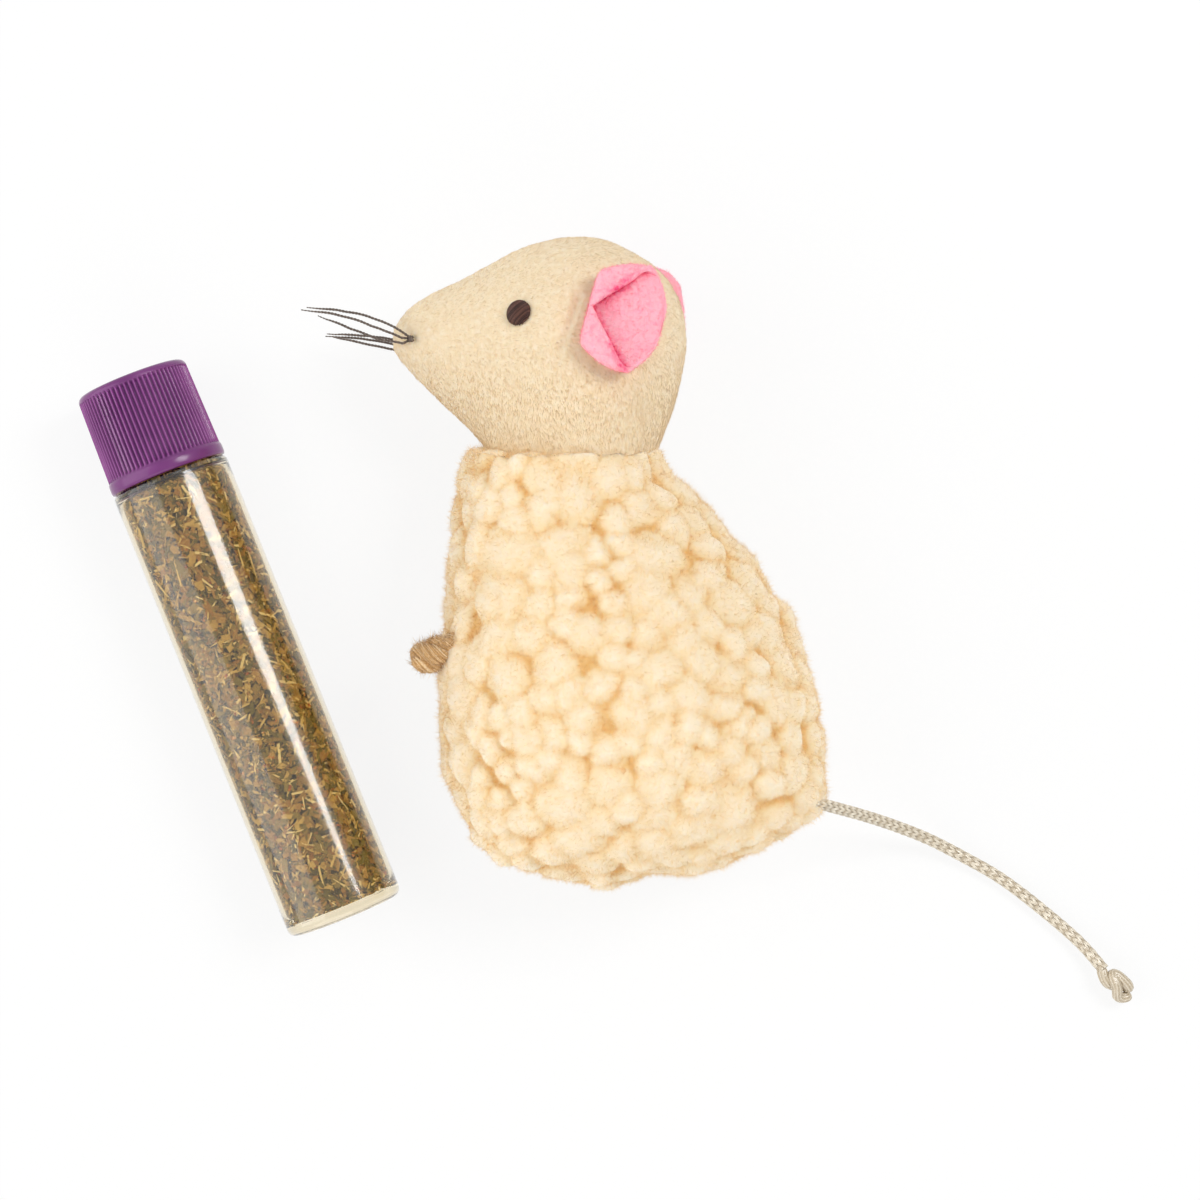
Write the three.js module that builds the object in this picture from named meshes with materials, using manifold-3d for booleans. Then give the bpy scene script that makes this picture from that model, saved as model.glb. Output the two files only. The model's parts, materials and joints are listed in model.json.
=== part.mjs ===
// Catnip mouse and its refill tube, lying on a table: the mouse on its far flank, the tube on its side.
// Millimetres, +Z up. The origin is the middle of the flat that the mouse lies on. +Y runs from the mouse's
// base to its head, -X is the way its nose points.
import * as THREE from 'three';
import { mergeVertices } from 'three/addons/utils/BufferGeometryUtils.js';
import Module from 'manifold-3d';

const wasm = await Module();
wasm.setup();

// Clearance between pieces that touch on the real toy.
const SEAT_GAP = 0.3;

// Body: two sherpa panels, sewn together round the edge.
const BODY_HEIGHT = 70.6;
const BODY_DEPTH = 65;
const BODY_THICKNESS = 43;
const SHERPA_WALL = 4;
// How deep the table presses the far flank flat.
const FLANK_FLAT = 0.5;
// Where the origin lies, above the base and behind the foremost line of the belly.
const BASE_TO_ORIGIN = 32;
const BELLY_TO_ORIGIN = 32.4;
// Shape of the body from base to neck, as shares of the body's own sizes:
// height, front edge, back edge, half thickness.
const BODY_PROFILE = [
  [0.0, 0.36, 0.48, 0.08],
  [0.026, 0.25, 0.62, 0.33],
  [0.083, 0.105, 0.83, 0.6],
  [0.196, 0.04, 0.985, 0.86],
  [0.372, 0.008, 1.0, 1.0],
  [0.569, 0.022, 0.935, 0.96],
  [0.765, 0.022, 0.83, 0.82],
  [0.925, 0.05, 0.66, 0.69],
  [1.0, 0.085, 0.595, 0.62],
];

// Tufts of the sherpa: uneven lumps in staggered rows over both panels, with creases between them.
// The pitch is that of the widest row.
const TUFT_PITCH = 10;
const TUFT_DEPTH = 1.8;
// How much the depth varies, as a share of it, and the places of the tufts, as a share of the pitch.
const TUFT_VARIES = 0.25;
const TUFT_STRAYS = 0.18;
// The fleece lies smooth this far round what is sewn into it, at the neck and on the table.
const TUFT_CALM = 3.5;

// Head: two plush panels, swelling from the nose to the back of the skull.
const HEAD_LENGTH = 48.5;
const HEAD_HEIGHT = 35.5;
const HEAD_THICKNESS = 31;
const PLUSH_WALL = 2;
// The nose sags towards the table.
const HEAD_SAG = 8;
const HEAD_DROP = 1;
const NOSE_TO_NECK = 29.2;
// Shape of the head from nose to back, as shares of the head's own sizes:
// length, top edge, bottom edge, half thickness. The neck seam cuts what reaches below it.
const HEAD_PROFILE = [
  [0.0, 0.575, 0.5, 0.06],
  [0.016, 0.625, 0.442, 0.17],
  [0.067, 0.696, 0.372, 0.29],
  [0.168, 0.766, 0.245, 0.45],
  [0.303, 0.853, 0.068, 0.64],
  [0.438, 0.946, -0.124, 0.81],
  [0.572, 1.0, -0.19, 0.95],
  [0.707, 0.997, -0.19, 1.0],
  [0.842, 0.915, -0.115, 0.88],
  [0.93, 0.828, 0.124, 0.66],
  [0.985, 0.7, 0.355, 0.34],
  [1.0, 0.585, 0.49, 0.1],
];

// Ears: felt discs with the front edges folded in, sewn to the skull at the root.
const EAR_LENGTH = 12.1;
const EAR_WIDTH = 17.6;
const EAR_ROOT_WIDTH = 12.4;
const EAR_FELT = 1.1;
const EAR_LIP = 5.6;
const EAR_LIP_BEND = 0.9;
const EAR_CUP = 1.3;
const EAR_ROOT_ALONG = 0.715;
const EAR_ROOT_UP = 22.1;
const EAR_TURN = -13;
const FAR_EAR_TURN = 27;
const EAR_ROLL = -14;
const EAR_PITCH = 7;

// Eyes: domed pads of satin stitch.
const EYE_LENGTH = 4.5;
const EYE_HEIGHT = 4.1;
const EYE_DOME = 1.2;
const EYE_ALONG = 0.478;
const EYE_UP = 22.2;

// Whiskers: three stiff threads on each side of the snout, out of one stitch.
const WHISKER_THREAD = 0.44;
const STITCH_LENGTH = 1.9;
const STITCH_DOME = 0.9;
const STITCH_ALONG = 0.088;
const STITCH_UP = 18.8;
// The far whiskers are set lower and rise less.
const FAR_STITCH_DROP = 0.9;
const FAR_WHISKER_RISE = 0.55;
// Routes away from the stitch: forward, up, outward.
const WHISKER_ROUTES = [
  [[1.3, 0.9, 0.6], [4.5, 2.7, 1.5], [10, 4.3, 2.3], [17, 5.1, 2.6]],
  [[1.6, 0.1, 0.9], [5.2, 1.6, 2.4], [11, 3.6, 3.7], [17.6, 4.6, 4.2]],
  [[1.4, -0.8, 0.4], [5.5, 0.0, 0.6], [10.5, 1.9, 0.7], [15.6, 3.9, 0.5]],
];

// Paws: stubs of jute rope in the front seam, knotted at the end.
const PAW_ROPE = 4.2;
const PAW_KNOT = 5.8;
const PAW_REACH = 5.1;
const PAW_UP = 38.1;
const PAW_SPREAD = 4.2;
const PAW_SPLAY = 9;
const PAW_DROOP = 5;

// Tail: satin cord out of the back seam, ending in a knot.
const TAIL_CORD = 2;
const TAIL_UP = 13.2;
const TAIL_STEPS = 22;
// Points of the route from the root to the knot, in the object's frame.
const TAIL_ROUTE = [
  [39.6, -21.0, 13.2],
  [45.2, -23.1, 7.6],
  [50.6, -25.4, 3.6],
  [56.0, -28.2, 1.6],
  [62.8, -32.1, 1.15],
  [71.0, -38.4, 1.2],
  [76.4, -43.2, 1.7],
];
const TAIL_KNOT = 5.4;
const TAIL_KNOT_LENGTH = 6.4;
const TAIL_KNOT_AT = [82.2, -50.0];
const TAIL_KNOT_TURN = 40;
const TAIL_WRAPS = 2;
// How far the half turns of the knot run into each other, in half turns.
const KNOT_LAP = 0.05;

// Inner catnip pouch behind the base seam, closed by a hook tape and a loop tape.
const POUCH_WIDTH = 28;
const POUCH_DEPTH = 32;
const POUCH_CLOTH = 0.6;
const POUCH_UP = 7;
const TAPE_HEIGHT = 10;
const TAPE_THICKNESS = 1.1;

// Refill tube with a smaller neck, and its ribbed screw cap.
const TUBE_OD = 20;
const TUBE_WALL = 1.3;
const TUBE_BASE = 1.8;
const TUBE_LENGTH = 79;
const TUBE_BASE_ROUND = 1.4;
const SHOULDER_ROUND = 1.6;
const NECK_OD = 15.6;
const NECK_WALL = 1.2;
const CAP_OD = 20;
const CAP_TOP_OD = 18.9;
const CAP_HEIGHT = 16.6;
const CAP_TOP = 1.5;
const CAP_ROUND = 1.6;
const CAP_BAND = 2;
const CAP_RIBS = 72;
const CAP_RIB_DEPTH = 0.35;
const CAP_TO_SHOULDER = 0.8;
const THREAD_ROOM = 0.8;
const LINER_THICKNESS = 1;
// The filling ends this far below the mouth, just above the shoulder.
const CATNIP_HEADSPACE = 13.8;
// Where the middle of the tube's base lies, and how far the tube leans off +Y.
const TUBE_BASE_AT = [-47.3, -37.6];
const TUBE_LEAN = 21.9;

const LINEN = 0xf4ead6;
// Where the body is widest, on its curves from 0 to 1.
const WIDEST_AT = 0.5;

function finish(color, roughness = 0.9, opacity = 1) {
  return new THREE.MeshStandardMaterial({ color, roughness, opacity, transparent: opacity < 1 });
}

function piece(name, geometry, material) {
  const mesh = new THREE.Mesh(geometry, material);
  mesh.name = name;
  return mesh;
}

// Solids for joining and cutting.
function solid(geometry) {
  const bare = geometry.clone();
  bare.deleteAttribute('normal');
  bare.deleteAttribute('uv');
  const merged = mergeVertices(bare, 1e-4);
  return new wasm.Manifold(new wasm.Mesh({
    numProp: 3,
    vertProperties: new Float32Array(merged.attributes.position.array),
    triVerts: new Uint32Array(merged.index.array),
  }));
}

function surface(manifold) {
  const mesh = manifold.getMesh();
  const geometry = new THREE.BufferGeometry();
  geometry.setAttribute('position', new THREE.BufferAttribute(new Float32Array(mesh.vertProperties), 3));
  geometry.setIndex(new THREE.BufferAttribute(new Uint32Array(mesh.triVerts), 1));
  geometry.computeVertexNormals();
  return geometry;
}

// A box between two corners.
function block(low, high) {
  const size = high.clone().sub(low);
  const box = new THREE.BoxGeometry(size.x, size.y, size.z);
  return box.translate(...low.clone().add(high).multiplyScalar(0.5).toArray());
}

// A closed loft through rings that all have the same number of points.
function loft(rings) {
  const count = rings[0].length;
  const points = rings.flat();
  const ends = [rings[0], rings.at(-1)].map((ring) => {
    const middle = new THREE.Vector3();
    ring.forEach((point) => middle.add(point));
    return middle.divideScalar(count);
  });
  const index = [];
  for (let j = 0; j < count; j += 1) {
    const next = (j + 1) % count;
    for (let i = 0; i + 1 < rings.length; i += 1) {
      const low = i * count;
      const high = low + count;
      index.push(low + j, low + next, high + next, low + j, high + next, high + j);
    }
    const last = (rings.length - 1) * count;
    index.push(points.length, next, j, points.length + 1, last + j, last + next);
  }
  const geometry = new THREE.BufferGeometry().setFromPoints([...points, ...ends]);
  geometry.setIndex(index);
  return geometry;
}

// A value from 0 to 1 that looks random but is always the same for the same two numbers.
function chance(a, b) {
  const wave = Math.sin(a * 127.1 + b * 311.7) * 43758.5;
  return wave - Math.floor(wave);
}

// One column of a profile as a smooth curve over t from 0 to 1.
function column(rows, place) {
  const curve = new THREE.SplineCurve(rows.map((row, i) => new THREE.Vector2(i, row[place])));
  return (t) => curve.getPoint(t).y;
}

// Where a rising curve reaches a value.
function whereReached(curve, value) {
  let low = 0;
  let high = 1;
  for (let i = 0; i < 40; i += 1) {
    const middle = (low + high) / 2;
    if (curve(middle) < value) low = middle;
    else high = middle;
  }
  return (low + high) / 2;
}

// A swelling, tapering form: oval sections along one axis, set in from the surface all round.
class StuffedForm {
  constructor(rows, sizes, axes) {
    this.curves = [0, 1, 2, 3].map((place) => column(rows, place));
    this.sizes = sizes;
    this.axes = axes;
    this.spin = Math.sign(axes.across.clone().cross(axes.out).dot(axes.along));
  }

  section(t, inset) {
    const [along, low, high, half] = this.curves.map((curve) => curve(t));
    const start = Math.min(low, high) * this.sizes.across + this.sizes.acrossFrom;
    const end = Math.max(low, high) * this.sizes.across + this.sizes.acrossFrom;
    return {
      along: along * this.sizes.along + this.sizes.alongFrom,
      middle: (start + end) / 2,
      across: Math.max((end - start) / 2 - inset, 0.3),
      out: Math.max((half * this.sizes.out) / 2 - inset, 0.3),
    };
  }

  point(section, angle) {
    const { along, across, out } = this.axes;
    return along.clone().multiplyScalar(section.along)
      .addScaledVector(across, section.middle + section.across * Math.cos(angle))
      .addScaledVector(out, section.out * Math.sin(angle));
  }

  // The ends are set in as well; a negative inset gives a cutter that is larger all round.
  geometry(inset, rings, sides, overrun = 0) {
    const share = Math.max(inset, 0) / this.sizes.along;
    const from = inset > 0 ? whereReached(this.curves[0], share) : 0;
    const to = overrun > 0 || inset <= 0 ? 1 : whereReached(this.curves[0], 1 - share * this.sizes.farEnd);
    const sections = Array.from({ length: rings }, (_, i) => {
      return this.section(from + ((to - from) * i) / (rings - 1), inset);
    });
    if (inset < 0) {
      sections[0].along += inset;
      sections.at(-1).along -= inset;
    }
    if (overrun > 0) sections.push({ ...sections.at(-1), along: sections.at(-1).along + overrun });
    return loft(sections.map((section) => Array.from({ length: sides }, (_, j) => {
      return this.point(section, (this.spin * j * Math.PI * 2) / sides);
    })));
  }

  // How far the surface runs from the start to t, as a mean of four lines along the form.
  slant(t, steps = 60) {
    const quarters = [0, 1, 2, 3].map((turn) => (turn * Math.PI) / 2);
    let run = 0;
    for (let i = 0; i < steps; i += 1) {
      const low = this.section((t * i) / steps, 0);
      const high = this.section((t * (i + 1)) / steps, 0);
      quarters.forEach((angle) => {
        run += this.point(low, angle).distanceTo(this.point(high, angle)) / quarters.length;
      });
    }
    return run;
  }

  // The same form covered in tufts. Its points lie in a lattice of triangles with twelve points to a tuft,
  // and three waves across the lattice, which all crest at the tops, make the lumps.
  tufted(pitch, depthAt) {
    const step = pitch / Math.sqrt(12);
    const widest = this.section(WIDEST_AT, 0);
    const sides = 6 * Math.round((Math.PI * (widest.across + widest.out)) / step / 6);
    const whole = this.slant(1);
    const rows = Math.round(whole / (step * Math.sqrt(0.75)));
    const wave = (count) => Math.cos((count * Math.PI) / 3);
    return loft(Array.from({ length: rows + 1 }, (_, i) => {
      const t = whereReached((at) => this.slant(at), (whole * i) / rows);
      return Array.from({ length: sides }, (__, j) => {
        const stray = i < rows ? TUFT_STRAYS * Math.sqrt(12) * (chance(i, j) - 0.5) : 0;
        const angle = (this.spin * (j - i / 2 + stray) * Math.PI * 2) / sides;
        const crest = (wave(2 * j - i) + wave(2 * i - j) + wave(i + j)) / 3;
        const depth = depthAt(this.point(this.section(t, 0), angle), (1 - crest) / 1.5, chance(j, i));
        return this.point(this.section(t, depth), angle);
      });
    }));
  }

  // Point on the near side, for a share along the form and a place across it, with the way out of the surface.
  seat(share, across) {
    const height = (at, place) => {
      const section = this.section(whereReached(this.curves[0], at), 0);
      const reach = Math.min(Math.abs(place - section.middle) / section.across, 1);
      return { along: section.along, out: section.out * Math.sqrt(1 - reach * reach) };
    };
    const step = 0.002;
    const here = height(share, across);
    const ahead = height(share + step, across);
    const aside = height(share, across + step * this.sizes.along);
    const slopeAlong = (ahead.out - here.out) / (ahead.along - here.along);
    const slopeAcross = (aside.out - here.out) / (step * this.sizes.along);
    const { along: a, across: b, out: c } = this.axes;
    return {
      position: a.clone().multiplyScalar(here.along).addScaledVector(b, across).addScaledVector(c, here.out),
      normal: c.clone().addScaledVector(a, -slopeAlong).addScaledVector(b, -slopeAcross).normalize(),
    };
  }
}

// Cord round a smooth path.
function cord(points, diameter, sides, steps) {
  const section = new THREE.Shape();
  for (let i = 0; i < sides; i += 1) {
    const angle = (i / sides) * Math.PI * 2;
    const place = [(Math.cos(angle) * diameter) / 2, (Math.sin(angle) * diameter) / 2];
    if (i === 0) section.moveTo(...place);
    else section.lineTo(...place);
  }
  section.closePath();
  const extrudePath = new THREE.CatmullRomCurve3(points);
  return new THREE.ExtrudeGeometry(section, { steps, extrudePath, bevelEnabled: false });
}

// A dome seated on a form: an oval ball at the seat, with the form cut away from it.
function dome(form, share, across, length, height, rise) {
  const seat = form.seat(share, across);
  const ball = new THREE.SphereGeometry(0.5, 20, 12).scale(length, height, rise * 2);
  const tilt = new THREE.Quaternion().setFromUnitVectors(new THREE.Vector3(0, 0, 1), seat.normal);
  ball.applyQuaternion(tilt).translate(...seat.position.toArray());
  return surface(solid(ball).subtract(solid(form.geometry(-SEAT_GAP, 22, 32))));
}

const AXIS_X = new THREE.Vector3(1, 0, 0);
const AXIS_Y = new THREE.Vector3(0, 1, 0);
const AXIS_Z = new THREE.Vector3(0, 0, 1);
const FAR_OFF = 300;

// The part of a solid on one side of the seam between the near and the far panel.
function sideOf(whole, near) {
  const low = new THREE.Vector3(-FAR_OFF, -FAR_OFF, near ? SEAT_GAP / 2 : -FAR_OFF);
  const high = new THREE.Vector3(FAR_OFF, FAR_OFF, near ? FAR_OFF : -SEAT_GAP / 2);
  return surface(whole.intersect(solid(block(low, high))));
}

// Body, in a frame whose Z is 0 on the seam between the panels.
const bodyForm = new StuffedForm(
  BODY_PROFILE,
  {
    along: BODY_HEIGHT,
    alongFrom: -BASE_TO_ORIGIN,
    across: BODY_DEPTH,
    acrossFrom: -BELLY_TO_ORIGIN,
    out: BODY_THICKNESS,
    farEnd: 0,
  },
  { along: AXIS_Y, across: AXIS_X, out: AXIS_Z },
);
const seamHeight = BODY_THICKNESS / 2 - FLANK_FLAT;
const neckSeam = BODY_HEIGHT - BASE_TO_ORIGIN;
const bodyCutter = solid(bodyForm.geometry(-SEAT_GAP, 26, 40));

// Where a piece comes out of the body's front (-1) or back (1) edge, at a height and a distance from the seam.
function edgeSeat(up, edge, fromSeam) {
  const section = bodyForm.section(whereReached(bodyForm.curves[0], up / BODY_HEIGHT), 0);
  const stand = fromSeam / section.out;
  const reach = edge * section.across * Math.sqrt(1 - stand * stand);
  return new THREE.Vector3(section.middle + reach, section.along, fromSeam);
}

const calmPlaces = [
  edgeSeat(PAW_UP, -1, PAW_SPREAD),
  edgeSeat(PAW_UP, -1, -PAW_SPREAD),
  edgeSeat(TAIL_UP, 1, 0),
  new THREE.Vector3(bodyForm.section(0, 0).middle, -BASE_TO_ORIGIN, 0),
];

// How far the fleece goes in at a point, from 0 at the top of a tuft to 1 where three tufts meet.
function fleeceDepth(point, share, varied) {
  const clear = [
    point.z + seamHeight,
    neckSeam - point.y,
    ...calmPlaces.map((place) => place.distanceTo(point) - TUFT_CALM),
  ];
  const free = THREE.MathUtils.smoothstep(Math.min(...clear), 0, TUFT_CALM);
  return TUFT_DEPTH * free * (share * (1 - TUFT_VARIES) + varied * TUFT_VARIES);
}

const bodyOuter = solid(bodyForm.tufted(TUFT_PITCH, fleeceDepth));
const bodyInner = solid(bodyForm.geometry(SHERPA_WALL, 12, 24, 5));
const aboveTable = solid(block(
  new THREE.Vector3(-FAR_OFF, -FAR_OFF, -seamHeight),
  new THREE.Vector3(FAR_OFF, FAR_OFF, FAR_OFF),
));
const bodyShell = bodyOuter.subtract(bodyInner).intersect(aboveTable);

// Pouch, tapes and the slot that they take up in the stuffing.
const pouchHalf = POUCH_CLOTH + TAPE_THICKNESS + SEAT_GAP * 1.5;
const pouchMouth = POUCH_UP - BASE_TO_ORIGIN;
const pouchMiddle = bodyForm.section(whereReached(bodyForm.curves[0], POUCH_UP / BODY_HEIGHT), 0).middle;

// A box across the pouch, from one height above its mouth to another.
function pouchBox(halfWidth, from, to, low, high) {
  return block(
    new THREE.Vector3(pouchMiddle - halfWidth, pouchMouth + from, low),
    new THREE.Vector3(pouchMiddle + halfWidth, pouchMouth + to, high),
  );
}

const pouchInside = pouchHalf - POUCH_CLOTH;
const pouchBag = solid(pouchBox(POUCH_WIDTH / 2, 0, POUCH_DEPTH, -pouchHalf, pouchHalf)).subtract(
  solid(pouchBox(POUCH_WIDTH / 2 - POUCH_CLOTH, -1, POUCH_DEPTH - POUCH_CLOTH, -pouchInside, pouchInside)),
);
const slotHalf = pouchHalf + SEAT_GAP;
const slot = solid(pouchBox(
  POUCH_WIDTH / 2 + SEAT_GAP,
  -POUCH_UP - SEAT_GAP,
  POUCH_DEPTH + SEAT_GAP,
  -slotHalf,
  slotHalf,
));
const tapeHalf = POUCH_WIDTH / 2 - POUCH_CLOTH - SEAT_GAP;
const tapeLow = SEAT_GAP / 2;
const tapeHigh = tapeLow + TAPE_THICKNESS;

const body = new THREE.Group();
body.position.z = seamHeight;
body.add(
  piece('body_near_panel', sideOf(bodyShell, true), finish(0xf5e3bf, 1)),
  piece('body_far_panel', sideOf(bodyShell, false), finish(0xf3dfb8, 1)),
  piece(
    'body_stuffing',
    surface(solid(bodyForm.geometry(SHERPA_WALL + SEAT_GAP, 12, 24)).subtract(slot)),
    finish(0xfafafa, 1),
  ),
  piece('catnip_pouch', surface(pouchBag), finish(LINEN, 1)),
  piece('loop_tape', pouchBox(tapeHalf, SEAT_GAP, TAPE_HEIGHT, tapeLow, tapeHigh), finish(0xe9e6df, 1)),
  piece('hook_tape', pouchBox(tapeHalf, SEAT_GAP, TAPE_HEIGHT, -tapeHigh, -tapeLow), finish(0xdedbd4, 0.7)),
);

// Knotted jute paws, one at each side of the front seam.
function pawGeometry() {
  const rope = PAW_ROPE / 2;
  const knot = PAW_KNOT / 2;
  const profile = [[0, -rope * 3], [rope, -rope * 3], [rope, PAW_REACH - knot * 1.9]];
  for (let i = 1; i <= 7; i += 1) {
    const angle = -0.75 + (i / 7) * (Math.PI / 2 + 0.75);
    profile.push([Math.max(knot * Math.cos(angle), 0), PAW_REACH - knot + knot * Math.sin(angle)]);
  }
  profile[profile.length - 1][0] = 0;
  return new THREE.LatheGeometry(profile.map((place) => new THREE.Vector2(...place)), 16);
}

function paw(name, side) {
  const frame = new THREE.Group();
  frame.position.copy(edgeSeat(PAW_UP, -1, side * PAW_SPREAD));
  frame.rotation.set(0, side * THREE.MathUtils.degToRad(PAW_SPLAY), THREE.MathUtils.degToRad(90 + PAW_DROOP));
  frame.updateMatrix();
  const cut = surface(bodyCutter).applyMatrix4(frame.matrix.clone().invert());
  frame.add(piece(name, surface(solid(pawGeometry()).subtract(solid(cut))), finish(0xb98f58, 0.95)));
  return frame;
}

body.add(paw('near_paw', 1), paw('far_paw', -1));

// Head, in a frame at the middle of the neck seam.
const neck = bodyForm.section(1, 0);
const headForm = new StuffedForm(
  HEAD_PROFILE,
  {
    along: HEAD_LENGTH,
    alongFrom: -NOSE_TO_NECK,
    across: HEAD_HEIGHT,
    acrossFrom: 0,
    out: HEAD_THICKNESS,
    farEnd: 1,
  },
  { along: AXIS_X, across: AXIS_Y, out: AXIS_Z },
);
const aboveNeck = solid(block(
  new THREE.Vector3(-FAR_OFF, 0, -FAR_OFF),
  new THREE.Vector3(FAR_OFF, FAR_OFF, FAR_OFF),
));
const headShell = solid(headForm.geometry(0, 19, 28))
  .subtract(solid(headForm.geometry(PLUSH_WALL, 13, 22)))
  .intersect(aboveNeck);
const headFilling = solid(headForm.geometry(PLUSH_WALL + SEAT_GAP, 13, 22)).intersect(aboveNeck);

const head = new THREE.Group();
head.position.set(neck.middle, neckSeam + SEAT_GAP, seamHeight - HEAD_DROP);
head.rotation.y = THREE.MathUtils.degToRad(-HEAD_SAG);
head.add(
  piece('head_near_panel', sideOf(headShell, true), finish(0xecdab8, 1)),
  piece('head_far_panel', sideOf(headShell, false), finish(0xead7b3, 1)),
  piece('head_stuffing', surface(headFilling), finish(0xf8f8f8, 1)),
);

// Felt ear: X from the sewn root to the tip, Y along the root, Z away from the head.
// Each section is a strip whose ends bend over and fold in, less and less towards the tip.
function earGeometry() {
  const rings = 12;
  const half = EAR_WIDTH / 2;
  const rootHalf = EAR_ROOT_WIDTH / 2;
  return loft(Array.from({ length: rings }, (_, i) => {
    const share = i / (rings - 1);
    const rise = Math.sqrt(Math.max(1 - ((share - 0.56) / 0.47) ** 2, 0.02));
    const width = share < 0.56 ? THREE.MathUtils.lerp(rootHalf, half, Math.sin((share / 0.56) * Math.PI / 2))
      : half * rise;
    const fold = Math.max(1 - share / 0.8, 0);
    return earSection(EAR_LENGTH * share, width, fold);
  }));
}

// One side of the strip's middle line, from the middle of the ear to the end of its lip.
function earHalfLine(width, fold) {
  const bend = EAR_LIP_BEND * (0.4 + 0.6 * fold);
  const angle = Math.PI * Math.min(fold * 2.2, 1);
  const flat = width - bend * Math.min(angle, Math.PI / 2);
  const lip = EAR_LIP * fold;
  const line = [0.05, 0.4, 0.75, 1].map((part) => {
    const place = flat * part;
    const cup = EAR_CUP * (place / width) ** 2;
    return { y: place, z: cup, angle: 0 };
  });
  const start = line.at(-1);
  for (let i = 1; i <= 5; i += 1) {
    const turned = (angle * i) / 5;
    line.push({
      y: start.y + bend * Math.sin(turned),
      z: start.z + bend * (1 - Math.cos(turned)),
      angle: turned,
    });
  }
  const end = line.at(-1);
  for (let i = 1; i <= 3; i += 1) {
    const reach = (lip * i) / 3;
    line.push({ y: end.y + reach * Math.cos(angle), z: end.z + reach * Math.sin(angle), angle });
  }
  return line;
}

function earSection(x, width, fold) {
  const right = earHalfLine(width, fold);
  const left = right.map(({ y, z, angle }) => ({ y: -y, z, angle: -angle })).reverse();
  const line = [...left, ...right];
  const edge = (side) => line.map(({ y, z, angle }) => new THREE.Vector3(
    x,
    y - (side * EAR_FELT * Math.sin(angle)) / 2,
    z + (side * EAR_FELT * Math.cos(angle)) / 2,
  ));
  return [...edge(-1), ...edge(1).reverse()];
}

// Eye, ear, stitch and whiskers of one side, for the near side; the far side's group is mirrored.
function headSide(name, earTurn, stitchUp, whiskerRise) {
  const side = new THREE.Group();
  const cutter = headForm.geometry(-SEAT_GAP, 22, 32);

  const root = headForm.seat(EAR_ROOT_ALONG, EAR_ROOT_UP);
  const ear = new THREE.Group();
  ear.position.copy(root.position).addScaledVector(root.normal, EAR_FELT / 2 + SEAT_GAP);
  ear.rotation.set(
    THREE.MathUtils.degToRad(EAR_ROLL),
    THREE.MathUtils.degToRad(EAR_PITCH),
    THREE.MathUtils.degToRad(earTurn),
    'ZXY',
  );
  ear.updateMatrix();
  const skull = solid(cutter.clone().applyMatrix4(ear.matrix.clone().invert()));
  ear.add(piece(`${name}_ear`, surface(solid(earGeometry()).subtract(skull)), finish(0xffb0c4, 1)));
  side.add(ear);

  const eye = dome(headForm, EYE_ALONG, EYE_UP, EYE_LENGTH, EYE_HEIGHT, EYE_DOME);
  side.add(piece(`${name}_eye`, eye, finish(0x4e312b, 0.6)));

  const stitch = dome(headForm, STITCH_ALONG, stitchUp, STITCH_LENGTH, STITCH_LENGTH, STITCH_DOME);
  side.add(piece(`${name}_whisker_stitch`, stitch, finish(0x4a3f38, 0.8)));
  const hole = headForm.seat(STITCH_ALONG, stitchUp).position;
  const clear = solid(cutter).add(solid(stitch));
  WHISKER_ROUTES.forEach((route, i) => {
    const points = route.map(([forward, up, out]) => new THREE.Vector3(-forward, up * whiskerRise, out).add(hole));
    const thread = solid(cord(points, WHISKER_THREAD, 6, 10));
    side.add(piece(`${name}_whisker_${i + 1}`, surface(thread.subtract(clear)), finish(0x5d5048, 0.8)));
  });
  return side;
}

const farSide = headSide('far', FAR_EAR_TURN, STITCH_UP - FAR_STITCH_DROP, FAR_WHISKER_RISE);
farSide.scale.z = -1;
head.add(headSide('near', EAR_TURN, STITCH_UP, 1), farSide);

// Tail: the cord's root is rounded about the point that it swings on.
const tailSection = bodyForm.section(whereReached(bodyForm.curves[0], TAIL_UP / BODY_HEIGHT), -SEAT_GAP);
const tailRoot = new THREE.Vector3(
  tailSection.middle + tailSection.across + TAIL_CORD / 2 + SEAT_GAP,
  tailSection.along,
  seamHeight,
);
const knotHigh = TAIL_KNOT / 2 + SEAT_GAP / 2;
const knotTurn = THREE.MathUtils.degToRad(TAIL_KNOT_TURN);
const knotAt = new THREE.Vector3(...TAIL_KNOT_AT, knotHigh);
const knotWay = new THREE.Vector3(Math.sin(knotTurn), -Math.cos(knotTurn), 0);
const tailEnd = knotAt.clone().addScaledVector(knotWay, -TAIL_KNOT_LENGTH / 2 - SEAT_GAP);
const tailPoints = [
  tailRoot,
  ...TAIL_ROUTE.map((place) => new THREE.Vector3(...place)),
  tailEnd,
];
const rootBall = new THREE.SphereGeometry(TAIL_CORD / 2, 12, 8).translate(...tailRoot.toArray());
const tailCord = solid(cord(tailPoints, TAIL_CORD, 8, TAIL_STEPS)).add(solid(rootBall));

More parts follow.
